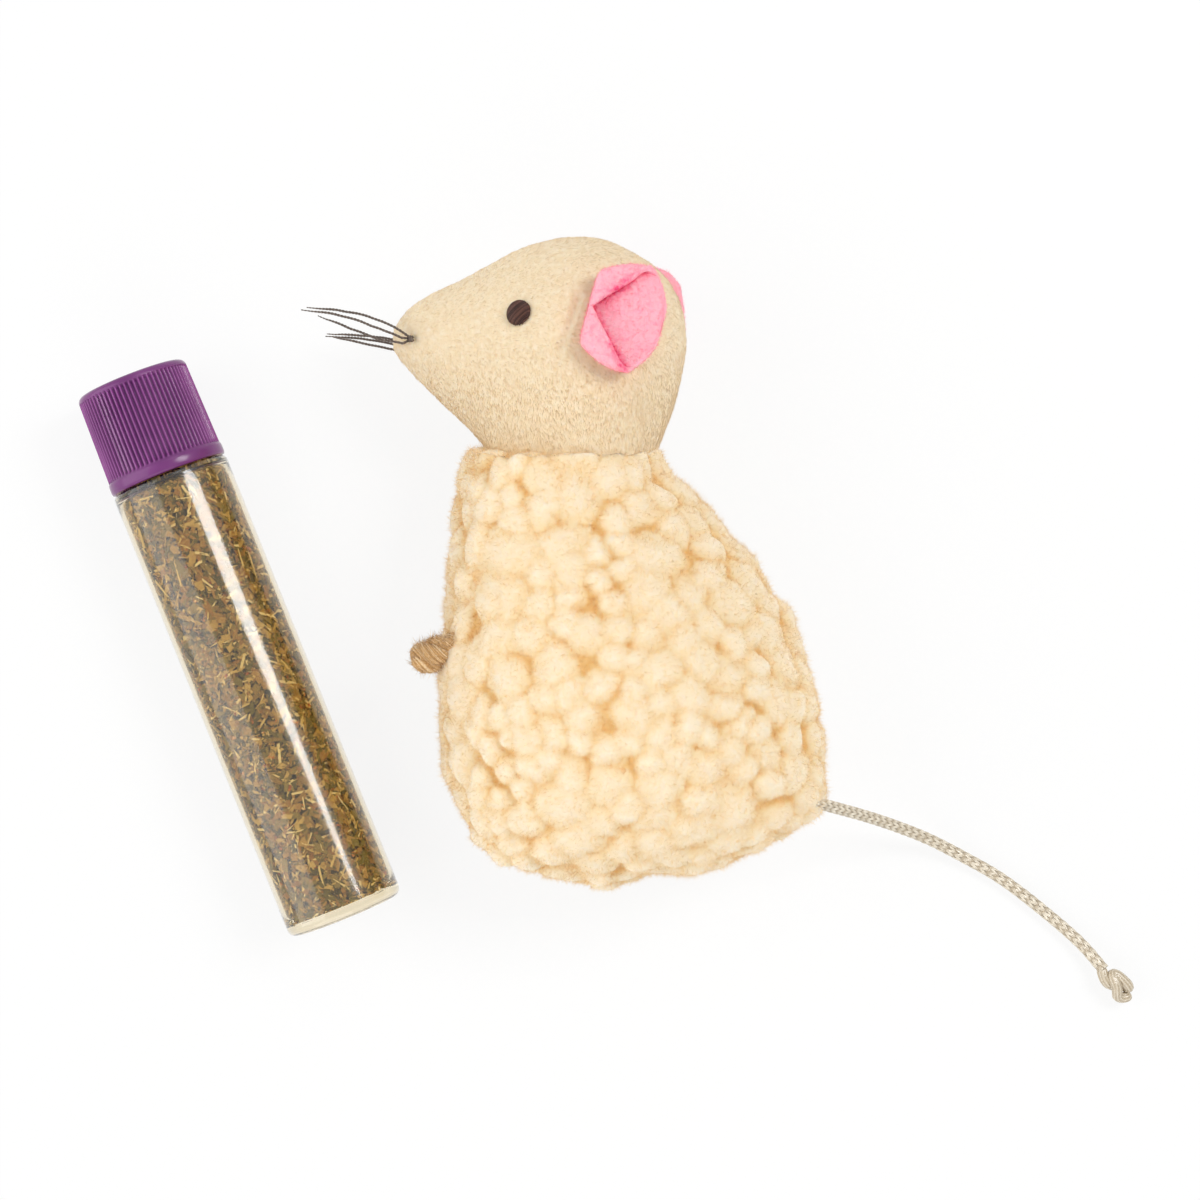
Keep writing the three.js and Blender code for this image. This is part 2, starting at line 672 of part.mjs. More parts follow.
// The knot: the cord wound round itself, joined from half turns, with the cut end standing out.
function knotGeometry() {
  const wound = (TAIL_KNOT - TAIL_CORD) / 2;
  const rise = TAIL_KNOT_LENGTH - TAIL_CORD * 1.3;
  const halfTurns = TAIL_WRAPS * 2;
  const place = (half) => new THREE.Vector3(
    wound * Math.cos(half * Math.PI),
    (0.5 - half / halfTurns) * rise,
    wound * Math.sin(half * Math.PI),
  );
  let wraps = solid(new THREE.CylinderGeometry(wound, wound, TAIL_KNOT_LENGTH, 12));
  for (let half = 0; half < halfTurns; half += 1) {
    const from = half - KNOT_LAP;
    const points = Array.from({ length: 7 }, (_, i) => place(from + ((1 + 2 * KNOT_LAP) * i) / 6));
    wraps = wraps.add(solid(cord(points, TAIL_CORD, 8, 7)));
  }
  return surface(wraps);
}

const knot = piece('tail_knot', knotGeometry(), finish(0xcfc1a8, 0.45));
knot.position.copy(knotAt);
knot.rotation.z = knotTurn;

// Refill tube: Y from the middle of the base to the cap.
function turned(profile, segments = 48) {
  return new THREE.LatheGeometry(profile.map((place) => new THREE.Vector2(...place)), segments);
}

// Points of a quarter round about a middle, between two angles in degrees.
function round(x, y, radius, from, to, steps = 4) {
  return Array.from({ length: steps + 1 }, (_, i) => {
    const angle = THREE.MathUtils.degToRad(from + ((to - from) * i) / steps);
    return [x + radius * Math.cos(angle), y + radius * Math.sin(angle)];
  });
}

const tubeRadius = TUBE_OD / 2;
const boreRadius = tubeRadius - TUBE_WALL;
const neckRadius = NECK_OD / 2;
const mouthRadius = neckRadius - NECK_WALL;
const capFoot = TUBE_LENGTH + CAP_TO_SHOULDER;
const capHead = capFoot + CAP_HEIGHT;
const capCeiling = capHead - CAP_TOP;
const linerHigh = capCeiling - SEAT_GAP;
const linerLow = linerHigh - LINER_THICKNESS;
const neckTop = linerLow - SEAT_GAP;
const boreTop = TUBE_LENGTH - TUBE_WALL;

const tubeShell = turned([
  [0, 0],
  ...round(tubeRadius - TUBE_BASE_ROUND, TUBE_BASE_ROUND, TUBE_BASE_ROUND, -90, 0),
  ...round(tubeRadius - SHOULDER_ROUND, TUBE_LENGTH - SHOULDER_ROUND, SHOULDER_ROUND, 0, 90),
  [neckRadius, TUBE_LENGTH],
  [neckRadius, neckTop],
  [mouthRadius, neckTop],
  [mouthRadius, boreTop],
  [boreRadius - TUBE_WALL, boreTop],
  [boreRadius, boreTop - TUBE_WALL],
  [boreRadius, TUBE_BASE],
  [0, TUBE_BASE],
]);

const leafRadius = boreRadius - SEAT_GAP;
const leafShoulder = boreTop - TUBE_WALL - SEAT_GAP;
const catnip = turned([
  [0, TUBE_BASE + SEAT_GAP],
  [leafRadius, TUBE_BASE + SEAT_GAP],
  [leafRadius, leafShoulder],
  [mouthRadius - SEAT_GAP, leafShoulder],
  [mouthRadius - SEAT_GAP, neckTop - CATNIP_HEADSPACE],
  [0, neckTop - CATNIP_HEADSPACE],
], 32);

// Cap: ribs run from the plain band at its foot to the rounded top edge.
function capGeometry() {
  const count = CAP_RIBS * 2;
  const footRadius = CAP_OD / 2;
  const headRadius = CAP_TOP_OD / 2;
  const draft = (y) => THREE.MathUtils.lerp(footRadius, headRadius, (y - capFoot) / CAP_HEIGHT);
  const ribbedTo = capHead - CAP_ROUND;
  const rings = [
    [capFoot, footRadius, 0],
    [capFoot + CAP_BAND, draft(capFoot + CAP_BAND), 0],
    [capFoot + CAP_BAND + CAP_RIB_DEPTH, draft(capFoot + CAP_BAND + CAP_RIB_DEPTH), CAP_RIB_DEPTH],
    [ribbedTo - CAP_RIB_DEPTH, draft(ribbedTo - CAP_RIB_DEPTH), CAP_RIB_DEPTH],
    ...round(draft(ribbedTo) - CAP_ROUND, ribbedTo, CAP_ROUND, 0, 75).map(([r, y]) => [y, r, 0]),
    [capHead, draft(ribbedTo) - CAP_ROUND, 0],
  ];
  const outside = loft(rings.map(([y, radius, groove]) => Array.from({ length: count }, (_, j) => {
    const angle = (j / count) * Math.PI * 2;
    const reach = radius - (j % 2) * groove;
    return new THREE.Vector3(reach * Math.sin(angle), y, reach * Math.cos(angle));
  })));
  const inside = turned([
    [0, capFoot - 1],
    [neckRadius + THREAD_ROOM, capFoot - 1],
    [neckRadius + THREAD_ROOM, capCeiling],
    [0, capCeiling],
  ]);
  return surface(solid(outside).subtract(solid(inside)));
}

const liner = turned([
  [0, linerLow],
  [neckRadius + THREAD_ROOM - SEAT_GAP, linerLow],
  [neckRadius + THREAD_ROOM - SEAT_GAP, linerHigh],
  [0, linerHigh],
], 36);

const refill = new THREE.Group();
refill.position.set(...TUBE_BASE_AT, tubeRadius);
refill.rotation.z = THREE.MathUtils.degToRad(TUBE_LEAN);
refill.add(
  piece('tube', tubeShell, finish(0xf2f4f2, 0.1, 0.3)),
  piece('catnip', catnip, finish(0x75683d, 1)),
  piece('cap_liner', liner, finish(0xf3f3f3, 0.8)),
  piece('screw_cap', capGeometry(), finish(0x6a2f78, 0.4)),
);

const set = new THREE.Group();
set.add(body, head, piece('tail_cord', surface(tailCord), finish(0xcbbda5, 0.5)), knot, refill);

export default set;
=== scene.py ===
"""Catnip mouse and its refill tube: what the eye sees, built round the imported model.

Lengths are in metres unless a name says millimetres, and MM turns one into the other.
"""
import json
import logging
import math
from collections.abc import Callable, Sequence
from dataclasses import dataclass, field
from enum import Enum
from itertools import product
from typing import Any

import bpy
import numpy as np
from bpy.types import Material, Node, NodeSocket, NodeTree, Object
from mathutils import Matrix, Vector
from mathutils.bvhtree import BVHTree
from numpy.random import Generator


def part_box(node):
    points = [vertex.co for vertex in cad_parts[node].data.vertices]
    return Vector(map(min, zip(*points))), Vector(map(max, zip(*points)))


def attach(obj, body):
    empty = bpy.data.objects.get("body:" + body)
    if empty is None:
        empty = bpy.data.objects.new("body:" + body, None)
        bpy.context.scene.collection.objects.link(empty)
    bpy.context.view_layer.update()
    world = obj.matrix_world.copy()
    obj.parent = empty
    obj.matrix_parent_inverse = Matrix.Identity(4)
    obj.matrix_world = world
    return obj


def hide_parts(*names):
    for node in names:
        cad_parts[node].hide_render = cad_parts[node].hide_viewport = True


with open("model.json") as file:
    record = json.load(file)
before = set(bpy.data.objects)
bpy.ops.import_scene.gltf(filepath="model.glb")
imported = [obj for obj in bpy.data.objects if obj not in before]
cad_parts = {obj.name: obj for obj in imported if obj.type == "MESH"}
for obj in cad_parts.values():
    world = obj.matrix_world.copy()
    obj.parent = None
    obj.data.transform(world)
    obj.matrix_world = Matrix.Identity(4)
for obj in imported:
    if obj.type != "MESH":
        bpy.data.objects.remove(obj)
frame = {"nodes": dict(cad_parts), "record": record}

Array = np.ndarray
Pair = tuple[float, float]
Triple = tuple[float, float, float]
Layers = tuple[tuple[float, float, int], ...]
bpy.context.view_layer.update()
MM = 0.001
SEAM_HEIGHT = 21.0 * MM
NECK_SEAM = 38.6 * MM
HEAD_TURN = math.radians(8)
HEAD_OUT = np.array([-math.sin(HEAD_TURN), 0.0, math.cos(HEAD_TURN)])
HEAD_MIDDLE = np.array([-10.3, 38.9, 20.0]) * MM
UP = np.array([0, 0, 1.0])
GRAIN_LIMITS = (0.25, 0.75)
EASING = 3
LEVELS = 2
log = logging.getLogger("catnip_mouse")


class Body(Enum):
    """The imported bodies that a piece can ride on."""

    MOUSE = "mouse"
    NEAR_EAR = "near_ear_felt"
    FAR_EAR = "far_ear_felt"
    TAIL = "tail"
    TUBE = "refill_tube"
    CAP = "cap"


class Side(Enum):
    """The two sides of the mouse, as the solids name them."""

    NEAR = "near"
    FAR = "far"

    @property
    def out(self) -> int:
        """+1 where outward is up, -1 where it is down."""
        return 1 if self is Side.NEAR else -1


class Scrap(Enum):
    """Kinds of dried catnip: lowest and highest length, width and thickness in mm, and tones."""

    LEAF = ((0.7, 2.7), (0.45, 1.45), (0.10, 0.28), (0.04, 0.62))
    CRUMB = ((0.3, 0.8), (0.25, 0.6), (0.15, 0.4), (0.0, 0.7))
    STEM = ((1.2, 4.0), (0.22, 0.55), (0.2, 0.4), (0.66, 0.9))
    FLECK = ((0.5, 1.2), (0.35, 0.8), (0.1, 0.25), (0.93, 1.0))


# Small shared tools.

def linear(colour: str) -> tuple[float, float, float, float]:
    """Turn an sRGB hex colour into the linear colour that shaders use.

    Args:
        colour: Such as "#EBD8B5".

    Returns:
        Red, green, blue and an alpha of 1.
    """
    parts = [int(colour[i:i + 2], 16) / 255 for i in (1, 3, 5)]
    return tuple(c / 12.92 if c <= 0.04045 else ((c + 0.055) / 1.055) ** 2.4 for c in parts) + (1.0,)


def per_metre(size_mm: float) -> float:
    """The scale of a texture whose marks are this many millimetres apart."""
    return 1 / (size_mm * MM)


def add_node(tree: NodeTree, kind: str, settings: dict[Any, Any] | None = None,
             links: dict[Any, Any] | None = None) -> Node:
    """Add one shader node with its settings and links.

    Args:
        tree: The node tree of the material or the world.
        kind: The node's type without its common first part.
        settings: Attributes, input values by name or number, or ramp stops.
        links: The socket that feeds each input.

    Returns:
        The new node.
    """
    node = tree.nodes.new("ShaderNode" + kind)
    for key, value in (settings or {}).items():
        if key == "stops":
            stops = node.color_ramp.elements
            while len(stops) < len(value):
                stops.new(1.0)
            for stop, (place, colour) in zip(stops, value):
                stop.position = place
                stop.color = linear(colour)
        elif isinstance(key, str) and hasattr(node, key):
            setattr(node, key, value)
        else:
            node.inputs[key].default_value = value
    for key, socket in (links or {}).items():
        tree.links.new(socket, node.inputs[key])
    return node


def unit(vectors: Array) -> Array:
    """Rows of vectors brought to a length of 1."""
    return vectors / np.maximum(np.linalg.norm(vectors, axis=-1, keepdims=True), 1e-12)


def norm(rows: Array) -> Array:
    """The length of each row."""
    return np.linalg.norm(rows, axis=1)


def ease(low: float, high: float, values: Array) -> Array:
    """A smooth rise from 0 at low to 1 at high."""
    share = np.clip((values - low) / (high - low), 0, 1)
    return share * share * (3 - 2 * share)


def lumps(points: Array, size: float, seed: int) -> Array:
    """Smooth random lumps over points.

    Args:
        points: Rows of places.
        size: About how far apart the lumps are.
        seed: Which pattern.

    Returns:
        A value from -1 to 1 for each point.
    """
    cell = points / size + seed * 37.17
    low = np.floor(cell).astype(np.int64)
    share = cell - low
    share = share * share * (3 - 2 * share)
    total = np.zeros(len(points))
    for corner in product((0, 1), repeat=3):
        mark = (low + corner) @ np.array([73856093, 19349663, 83492791]) + seed * 7919
        mark = (mark ^ (mark >> 13)) * 1274126177 & 0x7FFFFFFF
        mark = (mark ^ (mark >> 16)) & 0xFFFFF
        weight = np.prod(np.where(corner, share, 1 - share), axis=1)
        total += weight * (mark / 0x7FFFF - 1)
    return total


def layered(points: Array, layers: Layers) -> Array:
    """Lumps of several sizes added up, where each layer gives its height, its size and its pattern."""
    return sum(height * lumps(points, size, seed) for height, size, seed in layers)


def off_line(points: Array, start: Array, line: Array) -> tuple[Array, Array]:
    """Where points lie beside a straight line, as seen from above.

    Args:
        points: Rows of places.
        start: The line's start in plan.
        line: The way from there to its end.

    Returns:
        The share of the line that each point lies at, and its distance from there.
    """
    share = np.clip((points[:, :2] - start) @ line / (line @ line), 0, 1)
    return share, norm(points[:, :2] - start - share[:, None] * line)


@dataclass
class Skin:
    """A mesh held as arrays, so that all its points are worked on at once."""

    points: Array
    faces: Array
    values: dict[str, Array] = field(default_factory=dict)

    def triangles(self) -> Array:
        """The faces, with each four-sided one cut in two."""
        if self.faces.shape[1] == 3:
            return self.faces
        return np.vstack([self.faces[:, [0, 1, 2]], self.faces[:, [0, 2, 3]]])

    def normals(self) -> Array:
        """The outward direction at each point."""
        tri = self.triangles()
        a, b, c = (self.points[tri[:, k]] for k in range(3))
        face = np.cross(b - a, c - a)
        total = np.zeros_like(self.points)
        for k, axis in product(range(3), range(3)):
            total[:, axis] += np.bincount(tri[:, k], face[:, axis], len(self.points))
        return unit(total)

    def edges(self) -> Array:
        """Each edge once, as a pair of point numbers."""
        ends = np.stack([self.faces.ravel(), np.roll(self.faces, -1, axis=1).ravel()], axis=1)
        return np.unique(np.sort(ends, axis=1), axis=0)

    def averaged(self, values: Array, passes: int, share: float = 0.5) -> Array:
        """Ease values, one or more for each point, towards those of their neighbours.

        Args:
            values: One row for each point.
            passes: How many times.
            share: How far each time.

        Returns:
            The eased values.
        """
        a, b = self.edges().T
        size = len(self.points)
        count = np.bincount(a, minlength=size) + np.bincount(b, minlength=size)
        values = np.array(values, dtype=float).reshape(size, -1)
        for _ in range(passes):
            near = np.stack([np.bincount(a, column[b], size) + np.bincount(b, column[a], size)
                             for column in values.T], axis=1) / count[:, None]
            values += share * (near - values)
        return values

    def eased(self, passes: int) -> "Skin":
        """The same mesh with its points eased towards their neighbours."""
        return Skin(self.averaged(self.points, passes), self.faces)

    def pushed(self, amounts: Array | float) -> "Skin":
        """The same mesh with each point moved along its outward direction."""
        move = np.broadcast_to(amounts, len(self.points))[:, None]
        return Skin(self.points + self.normals() * move, self.faces, self.values)

    def in_tone(self, tone: float) -> "Skin":
        """The same mesh, with one tone all over."""
        self.values["tone"] = np.full(len(self.points), tone)
        return self

    def scatter(self, count: int, rng: Generator) -> tuple[Array, Array, Array]:
        """Pick random places all over the surface.

        Args:
            count: How many.
            rng: The seeded source of chance.

        Returns:
            The places, the outward direction at each, and the number of a point beside each.
        """
        tri = self.triangles()
        a, b, c = (self.points[tri[:, k]] for k in range(3))
        area = norm(np.cross(b - a, c - a))
        pick = rng.choice(len(tri), count, p=area / area.sum())
        u, v = rng.random((2, count, 1))
        over = u + v > 1
        u, v = np.where(over, 1 - u, u), np.where(over, 1 - v, v)
        places = a[pick] + u * (b[pick] - a[pick]) + v * (c[pick] - a[pick])
        out = self.normals()
        return places, unit(sum(out[tri[pick, k]] for k in range(3))), tri[pick, 0]

    def largest(self) -> "Skin":
        """Only the connected part with the most points."""
        a, b = self.edges().T
        label = np.arange(len(self.points))
        while True:
            low = label.copy()
            np.minimum.at(low, a, label[b])
            np.minimum.at(low, b, label[a])
            low = low[low]
            if np.array_equal(low, label):
                break
            label = low
        keep = label == np.bincount(label).argmax()
        number = np.cumsum(keep) - 1
        return Skin(self.points[keep], number[self.faces[keep[self.faces[:, 0]]]])

    def tree(self) -> BVHTree:
        """A search tree of the surface."""
        return BVHTree.FromPolygons(self.points.tolist(), self.faces.tolist())

    def welded(self) -> "Skin":
        """The same triangles with points that lie together made one."""
        points, first = np.unique(np.round(self.points, 7), axis=0, return_inverse=True)
        return Skin(points, first.reshape(-1)[self.triangles()])

    def build(self, name: str, material: Material | None = None,
              smooth: bool = True) -> Object:
        """Make the Blender object.

        Args:
            name: The piece's name.
            material: Its finish.
            smooth: Whether light runs evenly over its edges.

        Returns:
            The object, in the scene.
        """
        mesh = bpy.data.meshes.new(name)
        mesh.vertices.add(len(self.points))
        mesh.vertices.foreach_set("co", self.points.astype(np.float32).ravel())
        mesh.loops.add(self.faces.size)
        mesh.loops.foreach_set("vertex_index", self.faces.astype(np.int32).ravel())
        mesh.polygons.add(len(self.faces))
        starts = np.arange(0, self.faces.size, self.faces.shape[1], dtype=np.int32)
        mesh.polygons.foreach_set("loop_start", starts)
        mesh.polygons.foreach_set("use_smooth", np.full(len(self.faces), smooth))
        for key, value in self.values.items():
            slot = mesh.attributes.new(key, "FLOAT", "POINT")
            slot.data.foreach_set("value", value.astype(np.float32))
        mesh.update()
        mesh.validate()
        if material is not None:
            mesh.materials.append(material)
        piece = bpy.data.objects.new(name, mesh)
        bpy.context.scene.collection.objects.link(piece)
        return piece


def joined(skins: list[Skin]) -> Skin:
    """Put separate closed meshes into one, with the values that they all hold."""
    starts = np.cumsum([0] + [len(skin.points) for skin in skins[:-1]])
    keys = skins[0].values
    return Skin(
        np.vstack([skin.points for skin in skins]),
        np.vstack([skin.triangles() + start for skin, start in zip(skins, starts)]),
        {key: np.concatenate([skin.values[key] for skin in skins]) for key in keys},
    )


def read_back(piece: Object) -> Skin:
    """Read an object's mesh with its modifiers into arrays, for one face size."""
    shaped = piece.evaluated_get(bpy.context.evaluated_depsgraph_get())
    mesh = shaped.to_mesh()
    points = np.empty(len(mesh.vertices) * 3)
    mesh.vertices.foreach_get("co", points)
    faces = np.empty(len(mesh.loops), dtype=np.int32)
    mesh.loops.foreach_get("vertex_index", faces)
    corners = len(faces) // len(mesh.polygons)
    shaped.to_mesh_clear()
    return Skin(points.reshape(-1, 3), faces.reshape(-1, corners).astype(np.int64))


def worked(skin: Skin, kind: str, settings: dict[str, Any]) -> Skin:
    """Pass a mesh through one of Blender's modifiers.

    Args:
        skin: The mesh.
        kind: The modifier's type.
        settings: Its settings.

    Returns:
        The changed mesh.
    """
    helper = skin.build("helper")
    change = helper.modifiers.new("change", kind)
    for key, value in settings.items():
        setattr(change, key, value)
    result = read_back(helper)
    bpy.data.meshes.remove(helper.data)
    return result


def solid_skin(*nodes: str) -> Skin:
    """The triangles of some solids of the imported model, as one mesh."""
    skins = []
    for node in nodes:
        mesh = frame["nodes"][node].data
        mesh.calc_loop_triangles()
        points = np.array([corner.co for corner in mesh.vertices])
        faces = np.array([tri.vertices for tri in mesh.loop_triangles])
        skins.append(Skin(points, faces))
    return joined(skins)


def box_of(node: str) -> tuple[Array, Array]:
    """The lowest and the highest corner of a solid's box."""
    low, high = (np.array(corner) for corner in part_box(node))
    return low, high


def skin_round(solid: Skin, voxel: float, easing: int) -> Skin:
    """One closed even skin round some solids.

    Args:
        solid: The solids' triangles.
        voxel: The size of the skin's faces.
        easing: How many times it is smoothed.

    Returns:
        The outer skin, in four-sided faces.
    """
    skin = worked(solid, "REMESH", {"mode": "VOXEL", "voxel_size": voxel})
    return skin.largest().eased(easing)


def finer(skin: Skin, levels: int) -> Skin:
    """The mesh after so many rounds of smooth subdivision."""
    return worked(skin, "SUBSURF", {"levels": levels})


def routed(points: Array, step: float) -> Array:
    """A smooth line through points, the centripetal curve that the solids use.

    Args:
        points: The points, in order.
        step: About how far apart the stops are.

    Returns:
        The stops.
    """
    ends = np.vstack([2 * points[0] - points[1], points, 2 * points[-1] - points[-2]])
    stops = []
    for p in (ends[i:i + 4] for i in range(len(points) - 1)):
        t = np.concatenate([[0], np.cumsum(np.sqrt(norm(np.diff(p, axis=0))))])
        count = max(int(np.linalg.norm(p[2] - p[1]) / step), 2)
        at = np.linspace(t[1], t[2], count, endpoint=False)[:, None]
        a = [(t[k + 1] - at) / (t[k + 1] - t[k]) * p[k] + (at - t[k]) / (t[k + 1] - t[k]) * p[k + 1]
             for k in range(3)]
        b = [(t[k + 2] - at) / (t[k + 2] - t[k]) * a[k] + (at - t[k]) / (t[k + 2] - t[k]) * a[k + 1]
             for k in range(2)]
        stops.append((t[2] - at) / (t[2] - t[1]) * b[0] + (at - t[1]) / (t[2] - t[1]) * b[1])
    return np.vstack(stops + [points[-1:]])


def carried(path: Array, start: Array) -> Array:
    """A crosswise direction carried along a line without twisting.

    Args:
        path: The line's stops.
        start: About the direction at its start.

    Returns:
        The direction at each stop.
    """
    along = unit(np.gradient(path, axis=0))
    out = []
    for way in along:
        start = unit(start - way * (start @ way))
        out.append(start)
    return np.array(out)


def framed(path: Array, start: Array) -> tuple[Array, Array]:
    """Two crosswise directions at each stop of a line, carried along it without twisting."""
    out = carried(path, start)
    return out, np.cross(unit(np.gradient(path, axis=0)), out)


def turned(out: Array, side: Array, turn: Array) -> Array:
    """Directions turned by some angles from one crosswise direction towards the other."""
    return out * np.cos(turn)[:, None] + side * np.sin(turn)[:, None]


def run_along(path: Array) -> Array:
    """How far along a line each of its stops is."""
    return np.concatenate([[0], np.cumsum(norm(np.diff(path, axis=0)))])


def swept(path: Array, out: Array, half_width: Array | float,
          half_height: Array | float, sides: int) -> Skin:
    """A closed strand along a line.

    Args:
        path: The line's stops.
        out: The direction of the strand's height at each stop.
        half_width: Half its width, at all stops or at each.
        half_height: Half its height.
        sides: How many sides it has.

    Returns:
        The strand, in triangles.
    """
    rows = len(path)
    along = unit(np.gradient(path, axis=0))
    side = unit(np.cross(along, out))
    rise = np.cross(side, along)
    turn = np.arange(sides) * math.tau / sides
    wide = np.broadcast_to(half_width, rows)[:, None, None] * np.cos(turn)[None, :, None]
    high = np.broadcast_to(half_height, rows)[:, None, None] * np.sin(turn)[None, :, None]
    rings = path[:, None] + wide * side[:, None] + high * rise[:, None]
    points = np.vstack([rings.reshape(-1, 3), path[0] - along[0] * np.min(half_height) * 0.3,
                        path[-1] + along[-1] * np.min(half_height) * 0.3])
    i, j = np.meshgrid(np.arange(rows - 1), np.arange(sides), indexing="ij")
    a, b = (i * sides + j).ravel(), (i * sides + (j + 1) % sides).ravel()
    j = np.arange(sides)
    last = (rows - 1) * sides
    faces = np.vstack([
        np.stack([a, a + sides, b + sides], axis=1),
        np.stack([a, b + sides, b], axis=1),
        np.stack([np.full(sides, rows * sides), j, (j + 1) % sides], axis=1),
        np.stack([np.full(sides, rows * sides + 1), last + (j + 1) % sides, last + j], axis=1),
    ])
    return Skin(points, faces)


def needles(roots: Array, ways: Array, lengths: Array, width: float,
            tones: Array) -> Skin:
    """Many fine closed fibres, each of three sides and tapering to a tip.

    Args:
        roots: Where each fibre starts.
        ways: The direction that it takes.
        lengths: How long it is.
        width: How thick it is at the root.
        tones: A value for each, from dark to light.

    Returns:
        All fibres as one mesh, with the tone at each point.
    """
    side = unit(np.cross(ways, np.roll(ways, 1, axis=1) + 0.13))
    over = np.cross(ways, side)
    turns = [k * math.tau / 3 for k in range(3)]
    rings = [roots + (side * math.cos(turn) + over * math.sin(turn)) * width / 2 for turn in turns]
    points = np.stack(rings + [roots + ways * lengths[:, None]], axis=1).reshape(-1, 3)
    one = np.array([(2, 1, 0), (0, 1, 3), (1, 2, 3), (2, 0, 3)])
    faces = (np.arange(len(roots))[:, None, None] * 4 + one[None]).reshape(-1, 3)
    return Skin(points, faces, {"tone": np.repeat(tones, 4)})


def revolved(profile: list[Pair], segments: int,
             ribs: Callable[[Array, Array, Array], Array] | None = None) -> Skin:
    """Turn a closed outline round the tube's axis, which is +Z here.

    Args:
        profile: Radius and height of each row, from one end on the axis to the other.
        segments: How many steps round.
        ribs: What it adds to a radius, from radius, height and angle, if anything.

    Returns:
        The turned form, in four-sided faces that meet at a narrow ring on the axis.
    """
    turn = np.arange(segments) * math.tau / segments
    radius, height = np.array(profile).T
    radius = np.broadcast_to(radius[:, None], (len(profile), segments)).copy()
    height = np.broadcast_to(height[:, None], radius.shape)
    if ribs is not None:
        radius = radius + ribs(radius, height, np.broadcast_to(turn, radius.shape))
    points = np.stack([radius * np.cos(turn), radius * np.sin(turn), height], axis=2).reshape(-1, 3)
    i, j = np.meshgrid(np.arange(len(profile) - 1), np.arange(segments), indexing="ij")
    a, b = (i * segments + j).ravel(), (i * segments + (j + 1) % segments).ravel()
    tri = np.vstack([np.stack([a, b, b + segments], axis=1),
                     np.stack([a, b + segments, a + segments], axis=1)])
    ends = []
    for row, flip in ((0, True), (len(profile) - 1, False)):
        ring = row * segments + np.arange(segments)
        centre = np.full(segments, len(points) + (0 if flip else 1))
        pair = (np.roll(ring, -1), ring) if flip else (ring, np.roll(ring, -1))
        ends.append(np.stack([centre, *pair], axis=1))
    caps = np.array([[0, 0, profile[0][1]], [0, 0, profile[-1][1]]])
    return Skin(np.vstack([points, caps]), np.vstack([tri, *ends]))


def settle(piece: Object, body: Body, slot: str, *nodes: str) -> Object:
    """Fix a finished piece to its body and hide the solids that it stands for.

    Args:
        piece: The piece.
        body: What it moves with.
        slot: The record's slot for its finish; not used.
        nodes: The solids that it replaces.

    Returns:
        The same piece.
    """
    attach(piece, body.value)
    if nodes:
        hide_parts(*nodes)
    log.info("%s: %d faces on %s", piece.name, len(piece.data.polygons), body.value)
    return piece


def seen_rays(tree: NodeTree) -> NodeSocket:
    """1 for rays that come from the camera, straight or by way of a mirror or a clear wall, else 0."""
    path = add_node(tree, "LightPath")
    seen = path.outputs["Is Camera Ray"]
    for ray in ("Is Glossy Ray", "Is Transmission Ray"):
        either = add_node(tree, "Math", {"operation": "MAXIMUM"}, {0: seen, 1: path.outputs[ray]})
        seen = either.outputs[0]
    return seen


# Finishes.

@dataclass(frozen=True)
class Finish:
    """What every finish shares: a material with one main shader, and the grain of its surface.

    The grain's marks are so many millimetres apart and deep, and spread says how far they move the tone.
    """

    name: str = "finish"
    grain_mm: float = 0.5
    spread: float = 0.05
    depth_mm: float = 0.01

    def start(self, **sockets: Any) -> tuple[Material, NodeTree, Node]:
        """Begin the material.

        Args:
            sockets: Constant values of the main shader, by socket name with _ for a space.

        Returns:
            The material, its node tree and the main shader.
        """
        material = bpy.data.materials.new(self.name)
        material.use_nodes = True
        tree = material.node_tree
        shader = tree.nodes["Principled BSDF"]
        for key, value in sockets.items():
            shader.inputs[key.replace("_", " ")].default_value = value
        return material, tree, shader

    def toned(self, tree: NodeTree, shader: Node,
              stops: Sequence[tuple[float, str]]) -> NodeSocket:
        """Colour a surface by the tone of each place, broken up by a grain that also roughens it.

        Args:
            tree: The material's node tree.
            shader: The main shader.
            stops: Tones from 0 to 1 and their colours.

        Returns:
            The colour.
        """
        low, high = GRAIN_LIMITS
        place = add_node(tree, "TexCoord")
        grain = add_node(tree, "TexNoise", {"Scale": per_metre(self.grain_mm), "Detail": 3.0},
                         {"Vector": place.outputs["Object"]})
        tone = add_node(tree, "Attribute", {"attribute_name": "tone"})
        marks = add_node(tree, "MapRange", {1: low, 2: high, 3: -self.spread, 4: self.spread},
                         {0: grain.outputs["Fac"]})
        level = add_node(tree, "Math", {"operation": "ADD"}, {0: tone.outputs["Fac"], 1: marks.outputs[0]})
        ramp = add_node(tree, "ValToRGB", {"stops": stops}, {"Fac": level.outputs[0]})
        bump = add_node(tree, "Bump", {"Strength": 1.0, "Distance": self.depth_mm * MM},
                        {"Height": grain.outputs["Fac"]})
        tree.links.new(ramp.outputs["Color"], shader.inputs["Base Color"])
        tree.links.new(bump.outputs["Normal"], shader.inputs["Normal"])
        return ramp.outputs["Color"]

    def plain(self, stops: Sequence[tuple[float, str]], **sockets: Any) -> Material:
        """A material of the main shader alone, with the colours of its tones and its constant values."""
        material, tree, shader = self.start(**sockets)
        self.toned(tree, shader, stops)
        return material

    def shown(self, tree: NodeTree, mixed: Node) -> None:
        """Make a mix of shaders the surface, in place of the main shader alone."""
        tree.links.new(mixed.outputs[0], tree.nodes["Material Output"].inputs["Surface"])


